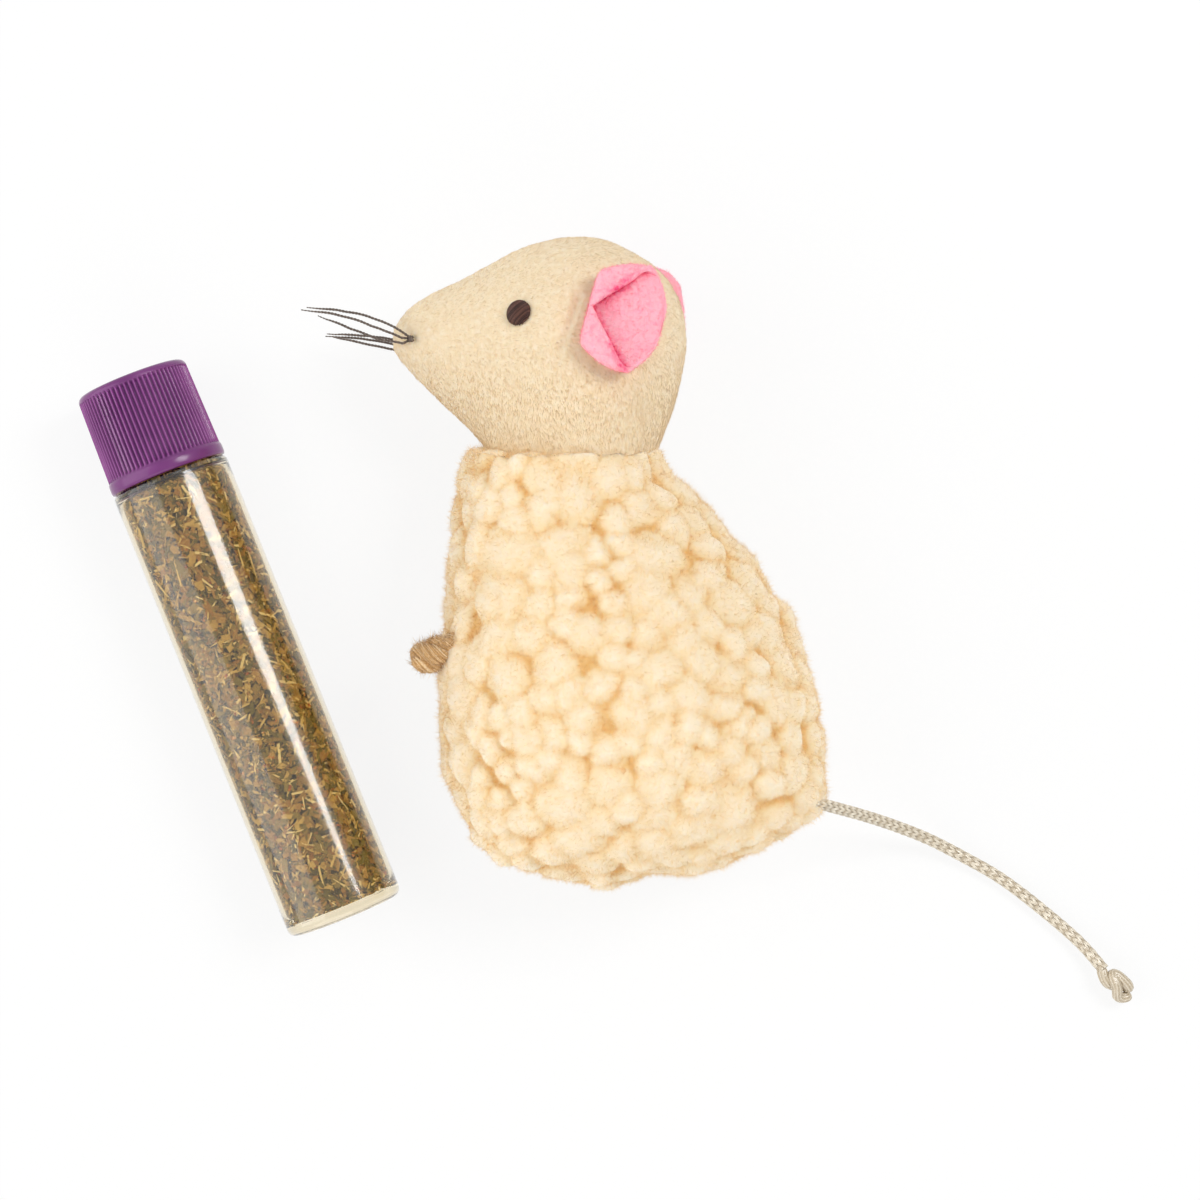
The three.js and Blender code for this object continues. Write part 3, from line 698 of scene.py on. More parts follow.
@dataclass(frozen=True)
class ThreeTone(Finish):
    """A finish whose tones run evenly from dark over middle to light."""

    dark: str = "#3B251F"
    middle: str = "#4E312B"
    light: str = "#6B4A40"

    def stops(self) -> list[tuple[float, str]]:
        """The tones and their colours."""
        return [(0.0, self.dark), (0.5, self.middle), (1.0, self.light)]


@dataclass(frozen=True)
class TumbledFleece(Finish):
    """Polyester sherpa fleece, knitted and tumbled until its pile curls into tufts.

    The tufts are pale and scatter light like cotton wool, and the gaps between them are painted with shade in
    warm gold.
    """

    name: str = "polyester_sherpa_fleece_tumbled"
    crevice_shade: str = "#EBC686"
    slope: str = "#F2DDB3"
    tuft: str = "#F4E4C6"
    crown: str = "#F6EBD8"
    grain_mm: float = 0.7
    spread: float = 0.06
    depth_mm: float = 0.05

    def build(self) -> Material:
        """The fleece, coloured by the height of its tufts: painted shade, deepest gold in the gaps and palest
        on the crowns.
        """
        stops = [(0.03, self.crevice_shade), (0.33, self.slope), (0.62, self.tuft), (1.0, self.crown)]
        return self.plain(
            stops, Roughness=0.95, Specular_IOR_Level=0.1, Sheen_Weight=0.4, Sheen_Roughness=0.6,
            Sheen_Tint=linear("#FFF3DC"), Subsurface_Weight=0.6, Subsurface_Scale=1.8 * MM,
            Subsurface_Radius=(1.0, 0.88, 0.6))


@dataclass(frozen=True)
class PileFibre(ThreeTone):
    """Single polyester fibres of a pile, crimped and dull: fine soft lines that blur the outline."""

    name: str = "polyester_pile_fibre_crimped"
    # The dark end carries the painted shade of the ground at each fibre's root: the fleece's gaps, the head's
    # darts and the ear's folds.
    dark: str = "#EBCA92"
    middle: str = "#F3E2C2"
    light: str = "#F8EEDD"
    thin: float = 0.6
    past: float = 0.3
    spread: float = 0.08

    def build(self) -> Material:
        """Fibres, each with its own tone, drawn thicker than real hairs but as light in their shade."""
        material, tree, shader = self.start(Roughness=0.95, Specular_IOR_Level=0.05)
        colour = self.toned(tree, shader, self.stops())
        glow = add_node(tree, "BsdfTranslucent", links={"Color": colour})
        mixed = add_node(tree, "MixShader", {0: self.thin}, {1: shader.outputs[0], 2: glow.outputs[0]})
        path = add_node(tree, "LightPath")
        share = add_node(tree, "Math", {"operation": "MULTIPLY", 1: self.past},
                         {0: path.outputs["Is Shadow Ray"]})
        clear = add_node(tree, "BsdfTransparent")
        links = {0: share.outputs[0], 1: mixed.outputs[0], 2: clear.outputs[0]}
        self.shown(tree, add_node(tree, "MixShader", links=links))
        return material


@dataclass(frozen=True)
class BrushedPlush(ThreeTone):
    """Short polyester plush, knitted, sheared and brushed: a dull nap with fine light and dark streaks."""

    name: str = "polyester_short_plush_brushed"
    dark: str = "#E8D1AB"
    middle: str = "#EFDCBB"
    light: str = "#F3E5CB"
    grain_mm: float = 0.9
    spread: float = 0.4
    depth_mm: float = 0.06

    def build(self) -> Material:
        """The ground under the pile."""
        return self.plain(
            self.stops(), Roughness=0.95, Specular_IOR_Level=0.1, Sheen_Weight=0.35,
            Sheen_Tint=linear("#FFF3DC"), Subsurface_Weight=0.3, Subsurface_Scale=1.0 * MM,
            Subsurface_Radius=(1.0, 0.8, 0.5))


@dataclass(frozen=True)
class PressedFelt(Finish):
    """Wool-blend felt, matted and pressed: no weave, a soft grain of tangled fibres, with shade painted deep
    pink into its folds.
    """

    name: str = "wool_blend_felt_pressed"
    # fold is the painted shade colour where the felt lies deep in a fold.
    fold: str = "#EC3F78"
    middle: str = "#FF9CB3"
    open: str = "#FFBECB"
    grain_mm: float = 0.8
    spread: float = 0.4
    depth_mm: float = 0.12

    def build(self) -> Material:
        """Felt, coloured by how open each place is: shade painted deeper pink where the folds close it in."""
        return self.plain(
            [(0.05, self.fold), (0.5, self.middle), (0.95, self.open)], Roughness=0.95,
            Specular_IOR_Level=0.1, Sheen_Weight=0.3, Sheen_Tint=linear("#FFD9E2"), Subsurface_Weight=0.15,
            Subsurface_Scale=0.8 * MM)


@dataclass(frozen=True)
class SpunThread(ThreeTone):
    """Spun thread or fibre, twisted: fine lines along it, with a dull or silky light on each strand."""

    name: str = "polyester_thread_twisted"
    rough: float = 0.45
    gloss: float = 0.5
    sheen: float = 0.0
    grain_mm: float = 0.25
    spread: float = 0.25
    depth_mm: float = 0.05

    def build(self) -> Material:
        """Thread with the tone of each strand and fine fibres."""
        return self.plain(
            self.stops(), Roughness=self.rough, Specular_IOR_Level=self.gloss, Sheen_Weight=self.sheen)


@dataclass(frozen=True)
class ClearStyrene(Finish):
    """Clear polystyrene, injection moulded: glossy and colourless, with faint flow marks in the surface."""

    name: str = "clear_polystyrene_moulded"
    low: str = "#EBDAB4"
    high: str = "#F1E4C6"
    grain_mm: float = 9.0
    spread: float = 0.5
    depth_mm: float = 0.004

    def build(self) -> Material:
        """Clear plastic, polished outside, that lets lamps reach what it holds."""
        material, tree, shader = self.start(
            Roughness=0.02, IOR=1.24, Transmission_Weight=1.0, Coat_IOR=1.55, Coat_Roughness=0.16)
        self.toned(tree, shader, [(0.0, self.low), (1.0, self.high)])
        outside = add_node(tree, "Attribute", {"attribute_name": "tone"})
        tree.links.new(outside.outputs["Fac"], shader.inputs["Coat Weight"])
        path = add_node(tree, "LightPath")
        lets_in = add_node(tree, "Math", {"operation": "MAXIMUM"},
                           {0: path.outputs["Is Shadow Ray"], 1: path.outputs["Is Diffuse Ray"]})
        through = add_node(tree, "BsdfTransparent", {"Color": linear("#F7F6F1")})
        links = {0: lets_in.outputs[0], 1: shader.outputs[0], 2: through.outputs[0]}
        self.shown(tree, add_node(tree, "MixShader", links=links))
        return material


@dataclass(frozen=True)
class DriedLeaf(Finish):
    """Catnip leaf and stem, dried and chopped: dull olive browns with pale stems and a few rusty flecks."""

    name: str = "catnip_leaf_dried_chopped"
    tones: tuple[tuple[float, str], ...] = (
        (0.0, "#493F20"), (0.14, "#6E632D"), (0.28, "#948044"), (0.42, "#9C7038"), (0.55, "#C09F5A"),
        (0.68, "#D8BA76"), (0.9, "#F8E6B0"), (0.94, "#CE8432"), (1.0, "#A05826"))
    depth_mm: float = 0.08

    def build(self) -> Material:
        """Flakes, each with its own tone."""
        return self.plain(self.tones, Roughness=0.85, Specular_IOR_Level=0.2)


@dataclass(frozen=True)
class MouldedPlastic(Finish):
    """Polypropylene or foam, moulded: an even colour with a faint cloudiness and a soft satin gloss."""

    name: str = "polypropylene_purple_moulded"
    # From low to high runs a piece's tone: on the cap, from painted shade in the grooves to painted light on
    # the ridges.
    low: str = "#4E0F52"
    high: str = "#C06ABB"
    rough: float = 0.22
    grain_mm: float = 5.0
    depth_mm: float = 0.004
    spread: float = 0.08

    def build(self) -> Material:
        """Plastic with a faint cloud and a fine moulded grain."""
        return self.plain([(0.0, self.low), (1.0, self.high)], IOR=1.4, Roughness=self.rough)


@dataclass(frozen=True)
class WovenCloth(Finish):
    """Cotton muslin or nylon tape, plain woven: threads over and under each other, dull."""

    name: str = "cotton_muslin_woven"
    low: str = "#DDD3BC"
    high: str = "#F4EDDC"
    thread_mm: float = 0.5

    def build(self) -> Material:
        """Two crossed sets of threads."""
        material, tree, shader = self.start(Roughness=0.9, Specular_IOR_Level=0.2)
        place = add_node(tree, "TexCoord")
        waves = [add_node(tree, "TexWave", {"bands_direction": axis, "Scale": per_metre(self.thread_mm) / 20,
                                            "Distortion": 0.4}, {"Vector": place.outputs["Object"]})
                 for axis in ("X", "Y")]
        weave = add_node(tree, "Math", {"operation": "MULTIPLY"},
                         {0: waves[0].outputs["Fac"], 1: waves[1].outputs["Fac"]})
        ramp = add_node(tree, "ValToRGB", {"stops": [(0.0, self.low), (0.8, self.high)]},
                        {"Fac": weave.outputs[0]})
        tree.links.new(ramp.outputs["Color"], shader.inputs["Base Color"])
        bump = add_node(tree, "Bump", {"Strength": 1.0, "Distance": self.thread_mm * 0.4 * MM},
                        {"Height": weave.outputs[0]})
        tree.links.new(bump.outputs["Normal"], shader.inputs["Normal"])
        return material


# Sub-assemblies.

@dataclass(frozen=True)
class Filling:
    """The stuffing that blows a sewn skin up from inside."""

    pressure: float = 4.0
    frames: int = 20
    enlarged: float = 10.0

    def swell(self, skin: Skin, held: Array, most: float) -> Skin:
        """Blow up a skin with cloth simulation.

        Args:
            skin: The slack skin.
            held: Which of its points a seam holds.
            most: How far a point may move.

        Returns:
            The filled skin.
        """
        helper = Skin(skin.points * self.enlarged, skin.faces).build("slack_skin")
        group = helper.vertex_groups.new(name="seam")
        group.add(np.flatnonzero(held).tolist(), 1.0, "REPLACE")
        cloth = helper.modifiers.new("filling", "CLOTH")
        cloth.settings.use_pressure = True
        cloth.settings.uniform_pressure_force = self.pressure
        cloth.settings.effector_weights.gravity = 0
        cloth.settings.vertex_group_mass = group.name
        cloth.point_cache.frame_end = self.frames
        for number in range(1, self.frames + 1):
            bpy.context.scene.frame_set(number)
        moved = read_back(helper).points / self.enlarged - skin.points
        bpy.data.meshes.remove(helper.data)
        bpy.context.scene.frame_set(1)
        far = np.linalg.norm(moved, axis=1, keepdims=True)
        log.info("filling moved points %.2f mm at most, held to %.2f", far.max() / MM, most / MM)
        moved *= np.minimum(1, most / np.maximum(far, 1e-9))
        return Skin(skin.points + skin.averaged(moved, 2), skin.faces)


@dataclass
class Tail:
    """Satin cord tail: a hollow braid of flat strands, with an overhand knot at its end.

    A half or a reach is a share of half the diameter, and tones run from 0, dark, to 1, light.
    """

    route_mm: tuple[Triple, ...] = (
        (29.7, -17.8, 24.7), (32.846, -18.8, 21.0), (39.6, -21, 13.2), (45.2, -23.1, 7.6), (50.6, -25.4, 3.6),
        (56, -28.2, 1.6), (62.8, -32.1, 1.15), (71, -38.4, 1.2), (76.4, -43.2, 1.7), (79.95, -47.32, 2.85))
    knot_middle_mm: Triple = (82.2, -50.0, 2.3)
    knot_way: Triple = (0.6428, -0.766, 0.0)
    knot_turns_mm: tuple[Triple, ...] = (
        (-4.2, 0.05, 0.5), (-3.3, -0.45, 0.55), (-2.3, -0.85, 0.6), (-1.3, -0.9, 0.35), (-0.4, -0.5, -0.55),
        (0.3, 0.2, -1.1), (1.0, 0.85, -0.85), (1.6, 1.25, -0.1), (1.0, 1.4, 0.55), (-0.2, 1.3, 0.7),
        (-1.2, 1.1, 0.6), (-1.9, 0.6, 0.75), (-1.1, 0.15, 1.15), (-0.1, -0.15, 1.2), (0.8, -0.65, 0.8),
        (1.5, -1.0, 0.15), (2.2, -0.7, -0.35), (2.7, 0.1, -0.45), (2.75, 0.9, -0.45))
    diameter: float = 2.0 * MM
    exit_stop: int = 1
    strands_each_way: int = 12
    lay_length: float = 20.0 * MM
    strand_sides: int = 8
    strand_half: Pair = (0.24, 0.13)
    strand_reach: float = 0.83
    weave_reach: float = 0.07
    strand_tone: float = 0.5
    strand_tone_step: float = 0.08
    weave_light_and_shade: float = 0.34
    core_sides: int = 12
    core_reach: float = 0.74
    core_shade_tone: float = 0.12
    knot_strand: float = 0.92 * MM
    knot_sides: int = 40
    knot_step_mm: float = 0.15
    knot_tone: float = 0.6
    cut_end: float = 0.04
    filaments: int = 10
    filament_twist: float = 0.12
    filament_mm: float = 0.035
    filament_light_and_shade: float = 0.16
    start_up: Triple = (0.3, 0.2, 1.0)
    step: float = 0.25 * MM
    path_stops: int = 32
    table_gap: float = 0.1 * MM
    finish: SpunThread = SpunThread(
        name="rayon_satin_cord_braided", dark="#62533F", middle="#B9A88C", light="#F4EAD6", rough=0.24,
        gloss=0.9, sheen=0.1, grain_mm=0.3, spread=0.12, depth_mm=0.06)

    def braid(self, path: Array, up: Array) -> Skin:
        """Flat strands wound both ways round a line, over and under each other.

        Args:
            path: The cord's middle line.
            up: A direction across it at its start.

        Returns:
            The braid and its core, with tones.
        """
        out, side = framed(path, up)
        run = run_along(path)
        half = self.diameter / 2
        wide, high = self.strand_half
        parts = []
        for k, way in product(range(self.strands_each_way), (1, -1)):
            turn = way * (run / self.lay_length * math.tau + k * math.tau / self.strands_each_way)
            weave = np.cos(math.pi * (self.strands_each_way * run / self.lay_length + k)) * way
            reach = half * (self.strand_reach + self.weave_reach * weave)
            radial = turned(out, side, turn)
            line = path + radial * reach[:, None]
            strand = swept(line, radial, wide * half, high * half, self.strand_sides)
            # Painted light and shade: a strand is lighter where it passes over and darker where it dives
            # under; the steps between strands are their own tone.
            tone = self.strand_tone + self.strand_tone_step * (k % 3 - 1) + self.weave_light_and_shade * weave
            tone = np.repeat(tone, self.strand_sides)
            strand.values["tone"] = np.append(tone, tone[[0, -1]])
            parts.append(strand)
        # The core is painted shade: its dark tone shows in the gaps between the strands.
        core = swept(path, out, half * self.core_reach, half * self.core_reach, self.core_sides)
        return joined(parts + [core.in_tone(self.core_shade_tone)])

    def knot_line(self) -> Array:
        """The cord's line through its overhand knot, from the end of the tail to the cut end."""
        way = np.array(self.knot_way)
        across = np.array([-way[1], way[0], 0])
        place = np.array(self.knot_middle_mm)
        return np.array([place + a * way + b * across + c * UP for a, b, c in self.knot_turns_mm]) * MM

    def drawn_tight(self, path: Array, up: Array) -> Skin:
        """The cord inside its knot, where the braid is drawn smooth and shows only fine filaments.

        Args:
            path: The cord's middle line.
            up: A direction across it at its start.

        Returns:
            The cord, with tones.
        """
        sides = self.knot_sides
        rows = len(path)
        ends = np.minimum(np.arange(rows), np.arange(rows)[::-1]) * self.knot_step_mm * MM / self.knot_strand
        thick = self.knot_strand * np.sqrt(np.clip(1 - (1 - np.clip(ends, 0, 1)) ** 2, self.cut_end, 1))
        cord = swept(path, carried(path, up), thick, thick, sides)
        row, turn = np.divmod(np.arange(rows * sides), sides)
        wave = np.cos(turn * math.tau / sides * self.filaments + row * self.filament_twist)
        ridge = np.append(wave, [0, 0])
        cord.points += cord.normals() * (ridge * self.filament_mm * MM)[:, None]
        # Painted light and shade: each filament lighter on its ridge and darker between ridges.
        cord.values["tone"] = self.knot_tone + self.filament_light_and_shade * ridge
        return cord

    def build(self) -> list[Object]:
        finish = self.finish.build()
        up = np.array(self.start_up)
        line = routed(np.array(self.route_mm) * MM, self.step)
        cord = self.braid(line, up).build("satin_tail", finish)
        knot = self.drawn_tight(routed(self.knot_line(), self.knot_step_mm * MM), up)
        knot.points[:, 2] = np.maximum(knot.points[:, 2], self.table_gap)
        end = knot.build("satin_tail_knot", finish)
        settle(cord, Body.TAIL, "satin_cord", "tail_cord")
        settle(end, Body.TAIL, "satin_cord", "tail_knot")
        stops = line[np.linspace(0, len(line) - 1, self.path_stops).astype(int)]
        length = float(norm(np.diff(line, axis=0)).sum())
        exit_at = tuple(np.array(self.route_mm[self.exit_stop]) * MM)
        return [cord, end]


@dataclass
class FleeceBody:
    """The stuffed body: one sewn fleece skin with curled tufts and loose fibres."""

    voxel: float = 1.6 * MM
    slack: float = 0.5 * MM
    swell: float = 1.0 * MM
    spacing: float = 4.9 * MM
    steep: float = 1.35
    soft: float = 0.05
    tuft_height: float = 1.8 * MM
    sunk: float = 1.2 * MM
    hollow: float = 0.6 * MM
    scallop: float = 1.1 * MM
    edge_fill: float = 0.55 * MM
    scallop_reach: float = 8.0 * MM
    shoulder: float = 1.7 * MM
    collar_rise: float = 2.4 * MM
    collar_half: float = 15.0 * MM
    collar_fall: float = 0.8
    seam_half: float = 0.9 * MM
    neck_half: float = 2.4 * MM
    tuft_tries: int = 14000
    patch_size: float = 14 * MM
    patch_share: float = 0.3
    uneven: float = 0.22
    grow: Pair = (0.82, 1.0)
    stretch: Pair = (1.0, 1.5)
    warp_size: float = 2.4 * MM
    warp_mm: float = 0.8
    gap_size: float = 4.5 * MM
    gap_limits: Pair = (-0.5, 0.55)
    gap_least: float = 0.6
    gap_more: float = 0.4
    tallest: float = 1.1
    at_once: int = 4000
    fine: Layers = ((0.08, 1.5 * MM, 31), (0.04, 0.8 * MM, 32))
    scallop_size: float = 7.5 * MM
    full_span: Pair = (-31 * MM, -21 * MM)
    lid_facing: Pair = (0.6, 0.95)
    lid_span: Pair = (35 * MM, 38 * MM)
    lid_sunk: float = 1.2 * MM
    lid_tufts: float = 0.9 * MM
    hollow_passes: int = 40
    tone_shares: Triple = (0.1, 0.6, 0.3)
    rim_span: Pair = (34 * MM, 38 * MM)
    rim_shares: Pair = (0.7, 0.3)
    shoulder_span: Pair = (31 * MM, 39 * MM)
    shoulder_across: Pair = (-2 * MM, 8 * MM)
    pressed_below: float = 0.9 * MM
    pressed_share: float = 0.86
    table_gap: float = 0.12 * MM
    fibres: int = 47000
    fibre_pieces: int = 3
    fibre_length: float = 1.3 * MM
    fibre_lengths: Pair = (0.4, 1.15)
    fibre_width: float = 0.08 * MM
    fibre_stand: float = 0.25
    fibre_tone: float = 0.1
    fibre_root_mm: float = 0.1
    fibre_gap: float = 0.05 * MM
    seed: int = 41
    skin: Skin | None = None

    def filled(self) -> Skin:
        """The smooth stuffed form, before its tufts."""
        solid = solid_skin("body_near_panel", "body_far_panel", "body_stuffing")
        slack = skin_round(solid, self.voxel, EASING).pushed(-self.slack)
        seam = np.abs(slack.points[:, 2] - SEAM_HEIGHT) < self.seam_half
        neck = slack.points[:, 1] > NECK_SEAM - self.neck_half
        return finer(Filling().swell(slack, seam | neck, self.swell), LEVELS)

    def tuft_places(self, skin: Skin, rng: Generator) -> tuple[Array, Array]:
        """Tufts spread evenly but not in rows.

        Args:
            skin: The stuffed form.
            rng: The seeded source of chance.

        Returns:
            The middle of each tuft and its size.
        """
        tries, _, _ = skin.scatter(self.tuft_tries, rng)
        size = self.spacing * (1 + self.patch_share * lumps(tries, self.patch_size, 3)
                               + self.uneven * rng.uniform(-1, 1, len(tries)))
        kept = np.empty((0, 3))
        kept_size = np.empty(0)
        for place, wide in zip(tries, size):
            gap = norm(kept - place)
            if np.all(gap > 0.5 * (wide + kept_size)):
                kept = np.vstack([kept, place])
                kept_size = np.append(kept_size, wide)
        return kept, kept_size

    def tuft_heights(self, skin: Skin, rng: Generator) -> Array:
        """How high the tufts stand over each point.

        Args:
            skin: The stuffed form.
            rng: The seeded source of chance.

        Returns:
            From 0, deep in a gap, to about 1.
        """
        middle, size = self.tuft_places(skin, rng)
        count = len(middle)
        log.info("fleece has %d tufts", count)
        grow = rng.uniform(*self.grow, count)
        stretch = rng.uniform(*self.stretch, count)
        lie = unit(rng.normal(size=(count, 3)))
        points = skin.points
        warp = np.stack([lumps(points, self.warp_size, 11 + k) for k in range(3)], axis=1) * self.warp_mm * MM
        deep = self.gap_least + self.gap_more * ease(*self.gap_limits, lumps(points, self.gap_size, 21))
        height = np.empty(len(points))
        for start in range(0, len(points), self.at_once):
            part = slice(start, start + self.at_once)
            gap = (points[part] + warp[part])[:, None] - middle[None]
            along = np.einsum("pti,ti->pt", gap, lie)
            far = ((gap ** 2).sum(axis=2) - along ** 2 * (1 - 1 / stretch ** 2)) / size ** 2
            rise = (grow - self.steep * far) / self.soft
            top = rise.max(axis=1, keepdims=True)
            height[part] = self.soft * (top[:, 0] + np.log(np.exp(rise - top).sum(axis=1)))
        height = 1 - (1 - np.clip(height, 0, self.tallest)) * deep
        return skin.averaged(height[:, None], 2)[:, 0]

    def tufted(self, skin: Skin, rng: Generator) -> Skin:
        """Raise the tufts, with the collar at the neck and the flat side that lies on the table.

        Args:
            skin: The stuffed form.
            rng: The seeded source of chance.

        Returns:
            The fleece, with how high each point stands as its tone, which paints shade into the gaps.
        """
        height = self.tuft_heights(skin, rng)
        points, normals = skin.points, skin.normals()
        off_seam = points[:, 2] - SEAM_HEIGHT
        under_head = ease(*self.lid_facing, normals[:, 1]) * ease(*self.lid_span, points[:, 1])
        flank = np.clip(np.abs(off_seam) / self.collar_half, 0, 1)
        collar = self.collar_rise * (1 - self.collar_fall * flank)
        edge = np.exp(-(off_seam / self.scallop_reach) ** 2)
        full = self.edge_fill * ease(*self.full_span, points[:, 1])
        lift = (height + layered(points, self.fine)) * self.tuft_height - self.sunk
        lift += edge * (full + self.scallop * lumps(points, self.scallop_size, 33))
        lid = collar - self.lid_sunk + self.lid_tufts * height
        lift = lift * (1 - under_head) + under_head * lid
        fleece = Skin(points + normals * lift[:, None], skin.faces)
        # Painted shade: the tone drops in the gaps between tufts and in hollows below the smoothed surface.
        above = fleece.points - skin.averaged(fleece.points, self.hollow_passes)
        stands = np.clip(np.einsum("ij,ij->i", above, normals) / self.hollow, -1, 1)
        least, by_height, by_hollow = self.tone_shares
        fleece.values["tone"] = np.clip(least + by_height * height + by_hollow * stands, 0, 1)
        rim = ease(*self.rim_span, points[:, 1]) * (1 - under_head)
        even, by_tuft = self.rim_shares
        fleece.points[:, 1] += rim * collar * (even + by_tuft * height)
        drawn_in = ease(*self.shoulder_span, points[:, 1])
        fleece.points[:, 0] -= self.shoulder * (drawn_in * ease(*self.shoulder_across, points[:, 0]))
        low = fleece.points[:, 2]
        pressed = self.table_gap + np.maximum(low, 0) * self.pressed_share
        fleece.points[:, 2] = np.where(low < self.pressed_below, pressed, low)
        return fleece

    def fuzz(self, rng: Generator) -> Skin:
        """Loose curled fibres over the tufts.

        Args:
            rng: The seeded source of chance.

        Returns:
            One piece's fibres.
        """
        roots, normals, beside = self.skin.scatter(self.fibres, rng)
        curl = unit(rng.normal(size=roots.shape))
        ways = unit(normals * self.fibre_stand + curl)
        lengths = self.fibre_length * rng.uniform(*self.fibre_lengths, len(roots))
        own = rng.normal(0, self.fibre_tone, len(roots))
        # Each fibre takes the fleece's tone beside its root, painted shade included, with a random spread of
        # its own.
        tones = np.clip(self.skin.values["tone"][beside] + own, 0, 1)
        fibres = needles(roots - normals * self.fibre_root_mm * MM, ways, lengths, self.fibre_width, tones)
        fibres.points[:, 2] = np.maximum(fibres.points[:, 2], self.fibre_gap)
        return fibres

    def build(self) -> list[Object]:
        """Make the fleece and its fibres."""
        rng = np.random.default_rng(self.seed)
        self.skin = self.tufted(self.filled(), rng)
        body = self.skin.build("fleece_body", TumbledFleece().build())
        settle(body, Body.MOUSE, "sherpa", "body_near_panel", "body_far_panel", "body_stuffing")
        fibre = PileFibre().build()
        pieces = [body]
        for number in range(self.fibre_pieces):
            piece = self.fuzz(rng).build(f"fleece_fibres_{number + 1}", fibre, smooth=False)
            pieces.append(settle(piece, Body.MOUSE, "sherpa"))
        return pieces


